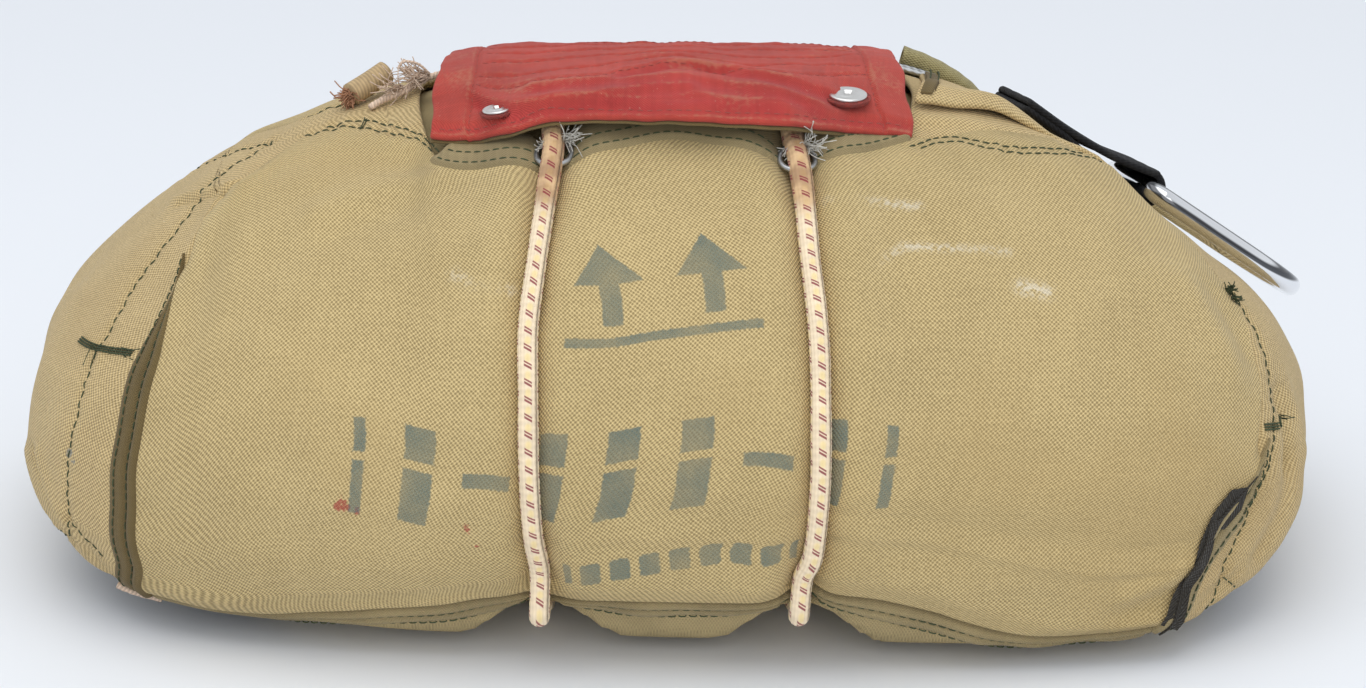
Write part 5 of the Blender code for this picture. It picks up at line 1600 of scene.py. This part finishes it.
def loose_threads(surface):
    """Frayed ends, thread tails and bartacks; returns the cord fray, twine fibres, twine scrap and
    thread tails.
    """
    heap = Heap()
    for seed, rows in zip((3, 7), CORDS.values()):
        top = cord_route(rows[:2], np.asarray)
        middle = top[0] * 0.45 + top[1] * 0.55
        fray(heap, middle + mm((3, -1, 1)), (0.75, -0.35, 0.25), 0.0085, 0.40, 34, seed, 0.00014)
        fray(heap, middle + mm((-2.6, -1.2, 0)), (-0.55, -0.45, -0.2), 0.0040, 0.40, 12, seed + 1,
             0.00014)
    core = heap.piece("cord_fray", WHITE_THREAD, (), "cord_cover")

    heap = Heap()
    last, before = (over_skin(*row)[0] for row in STUB_ROUTE[:-3:-1])
    way = unit(last - before)
    middle = last - way * 0.0010
    fray(heap, middle, way, 0.0060, 0.55, 70, 11, 0.00022)
    fray(heap, middle, way + np.array((0.0, 0.0, -0.8)), 0.0050, 0.45, 40, 12, 0.00022)
    heap.piece("cord_stub_core", STUB_CORE, (), "cord_cover")

    heap = Heap()
    for seed, row, way in ((21, (-70, 4.5, 3), (-0.9, -0.25, 0.25)),
                           (22, (-70.5, 1, 3), (-0.8, -0.50, 0.10)),
                           (23, (-79, -1.5, 3), (-0.6, -0.60, 0.20))):
        fray(heap, over_skin(*mm(row))[0], way, 0.0105, 0.30, 34, seed, 0.00017)
    heap.tube(smooth_line([over_skin(*row)[0] for row in TWINE_LOOP], 40), 0.00045)
    fibres = heap.piece("twine_fibres", TWINE_YARN, (), "twine")

    heap = Heap()
    heap.tube(surface(on_cloth(SCRAP_ROUTE, 12), 0.0011)[0], 0.0012, 12, shape=twisted(3, 0.006))
    scrap = heap.piece("twine_scrap", TWINE_YARN, (), "twine")

    heap = Heap()
    for rows in TACKS:
        line = on_cloth(rows, 40)
        for aside in (-0.0008, 0.0, 0.0008):
            stitch_row(heap, beside(line, aside), 0.0003, 0.0013, 0.0012, 0.00030, surface)
    for seed, row, way, length, count in (
            (31, (-170, -52, 83.5), (0.4, -0.7, -0.5), 0.0075, 5),
            (32, (-160, -61, 85), (0.7, -0.6, -0.5), 0.0060, 4),
            (33, (172.2, -33, 94.8), (0.5, -0.4, 0.3), 0.0034, 30),
            (34, (173.8, -34.2, 93), (0.6, -0.5, -0.1), 0.0032, 24),
            (35, (-83.1, 10.2, 145.4), (-0.6, -0.3, 0.6), 0.0090, 3),
            (36, (-90.5, -11, 142), (0.1, -0.8, -0.3), 0.0085, 3),
            (37, (186, -56, 63), (0.6, -0.7, 0.2), 0.0060, 4)):
        middle, _ = surface(full(mm(row))[None], 0.0004)
        fray(heap, middle[0], way, length, 0.28, count, seed, 0.00018)
    tails = heap.piece("thread_tails", GREEN_THREAD, (), "canvas")
    return core, fibres, scrap, tails


# ---------------------------------------------------------------- the whole object
def build():
    body_pad()
    panels = {
        "front": side_panel("front_panel", np.asarray, PANEL_CANVAS, ["front_flap"]),
        "far": side_panel("far_panel", far_side, FAR_CANVAS, ["far_flap"]),
        "left": end_panel("end_panel_left", -1, END_LEFT_BOTTOM, ["end_flap_left"]),
        "right": end_panel("end_panel_right", 1, END_RIGHT_BOTTOM, ["end_flap_right"]),
    }
    with_panels = {key: [] for key in panels}
    uppermost = over_panels(panels.values())
    for side, mirror, suffix in (("front", np.asarray, ""), ("far", far_side, "_far")):
        seams = []
        for facing, end in ((-1, "left"), (1, "right")):
            with_panels[end].append(side_tape("side_tape_" + end + suffix, facing, mirror, seams,
                                              ["binding_" + end + suffix]))
        with_panels["right"].append(open_gap("slit_inside" + suffix, mirror))
        with_panels[side].append(hem_band("hem_" + side, mirror, seams, ["top_binding_" + side]))
        with_panels[side].append(foot_tape("foot_" + side, mirror, seams, ["flange_" + side]))
        if side == "front":
            with_panels["right"] += corner_fold(seams)
        heap = Heap()
        for line, rise in seams:
            stitch_row(heap, line, rise)
        for rows in SEAMS:
            stitch_row(heap, on_cloth(mirror(rows), 60), 0.0001, surface=uppermost)
        with_panels[side].append(heap.piece("stitches_" + side, GREEN_THREAD, (), "olive_tape"))

    for side, rows in CORDS.items():
        opening_cord("cord_cover_" + side, rows, TURNS[side], ["cord_" + side])
        wire_eye(side + "_front", rows[EYE_ROW], np.asarray)
        wire_eye(side + "_far", rows[EYE_ROW + FAR_START], far_side)

    flap, on_flap = red_flap()
    snaps()
    strap()
    d_ring()
    roll, in_roll = edge_roll()
    small_tube("cord_stub_cover", STUB_ROUTE, STUB_RADIUS, STUB_CLOTH, ["cord_stub"],
               "cord_cover", 28)
    for name, shift, nodes in (("0", (0, 0, 0), ["ripcord_wire"]), ("1", (0, 2.2, 0.6), ())):
        small_tube("ripcord_cable_" + name, RIPCORD_ROUTE + mm(shift), 0.0010, STEEL, nodes,
                   "steel_wire", 16, 0.0003, twisted(5, 0.012))
    twine = small_tube("twine_tie_yarn", TWINE_ROUTE, TWINE_RADIUS, TWINE_YARN, ["twine_tie"],
                       "twine", 16, 0.0003, twisted(2, 0.0032))
    core, fibres, scrap, tails = loose_threads(uppermost)
    with_panels["left"] += [tails]
    with_panels["front"] += [scrap, core]
    path = smooth_line([over_skin(*row)[0] for row in TWINE_ROUTE], 60)


# ---------------------------------------------------------------- camera, lights and floor
CAMERA_TARGET = mm((5.5, 0, 64.5))
CAMERA_DISTANCE = 1.19
CAMERA_TILT = math.radians(21.0)
LENS = 100.0
SENSOR = 36.0
# Lamps: name, place, size and power.
LAMPS = (("overhead", (-0.15, -0.30, 1.45), 1.40, 9.0),
         ("front_fill", (0.15, -1.60, 0.80), 1.30, 8.2))
SKY_POWER = 0.92
FLOOR_REACH = 3.0
FLOOR_HEIGHT = -0.0002


def stand(kind, place, way):
    """Put a camera or a lamp in its place, with its back towards a direction."""
    thing = bpy.data.objects.new(kind.name, kind)
    thing.location = place
    thing.rotation_euler = Vector(way).to_track_quat("Z", "Y").to_euler()
    bpy.context.scene.collection.objects.link(thing)
    return thing


def studio():
    scene = bpy.context.scene
    lens = bpy.data.cameras.new("camera")
    lens.lens = LENS
    lens.sensor_width = SENSOR
    back = Vector((0.0, -math.cos(CAMERA_TILT), math.sin(CAMERA_TILT)))
    scene.camera = stand(lens, Vector(CAMERA_TARGET) + CAMERA_DISTANCE * back, back)
    for name, place, size, power in LAMPS:
        light = bpy.data.lights.new(name, "AREA")
        light.size = size
        light.energy = power
        stand(light, place, Vector(place) - Vector((0.0, 0.0, 0.05)))
    world = bpy.data.worlds.new("studio")
    world.use_nodes = True
    scene.world = world
    sky = Nodes(world.node_tree)
    _, deep, up = sky.split(sky.place(0))
    shares = [sky.add("MapRange", *enumerate((value, low, high, start, end)))
              for value, low, high, start, end in ((up, 0.0, 1.0, 1.0, 0.80),
                                                   (deep, -0.45, -0.90, 1.0, 0.58))]
    backdrop = sky.tree.nodes["Background"].inputs
    sky.link(sky.mix(shares[0] * shares[1], (0.0, 0.0, 0.0), (0.93, 0.96, 1.0)), backdrop[0])
    backdrop[1].default_value = SKY_POWER
    scene.view_settings.view_transform = "Standard"

    paint = Paint("floor_paper", 0.75)
    cloud = paint.noise(paint.place(), 3.0, 3.0)
    mesh = bpy.data.meshes.new("floor")
    mesh.from_pydata([(FLOOR_REACH * x, FLOOR_REACH * y, FLOOR_HEIGHT)
                      for x, y in ((-1, -1), (1, -1), (1, 1), (-1, 1))], [], [(0, 1, 2, 3)])
    mesh.materials.append(paint.finish(paint.mix(cloud, (0.805, 0.830, 0.870),
                                                 (0.825, 0.850, 0.890))))
    floor = bpy.data.objects.new("floor", mesh)
    scene.collection.objects.link(floor)


studio()
build()
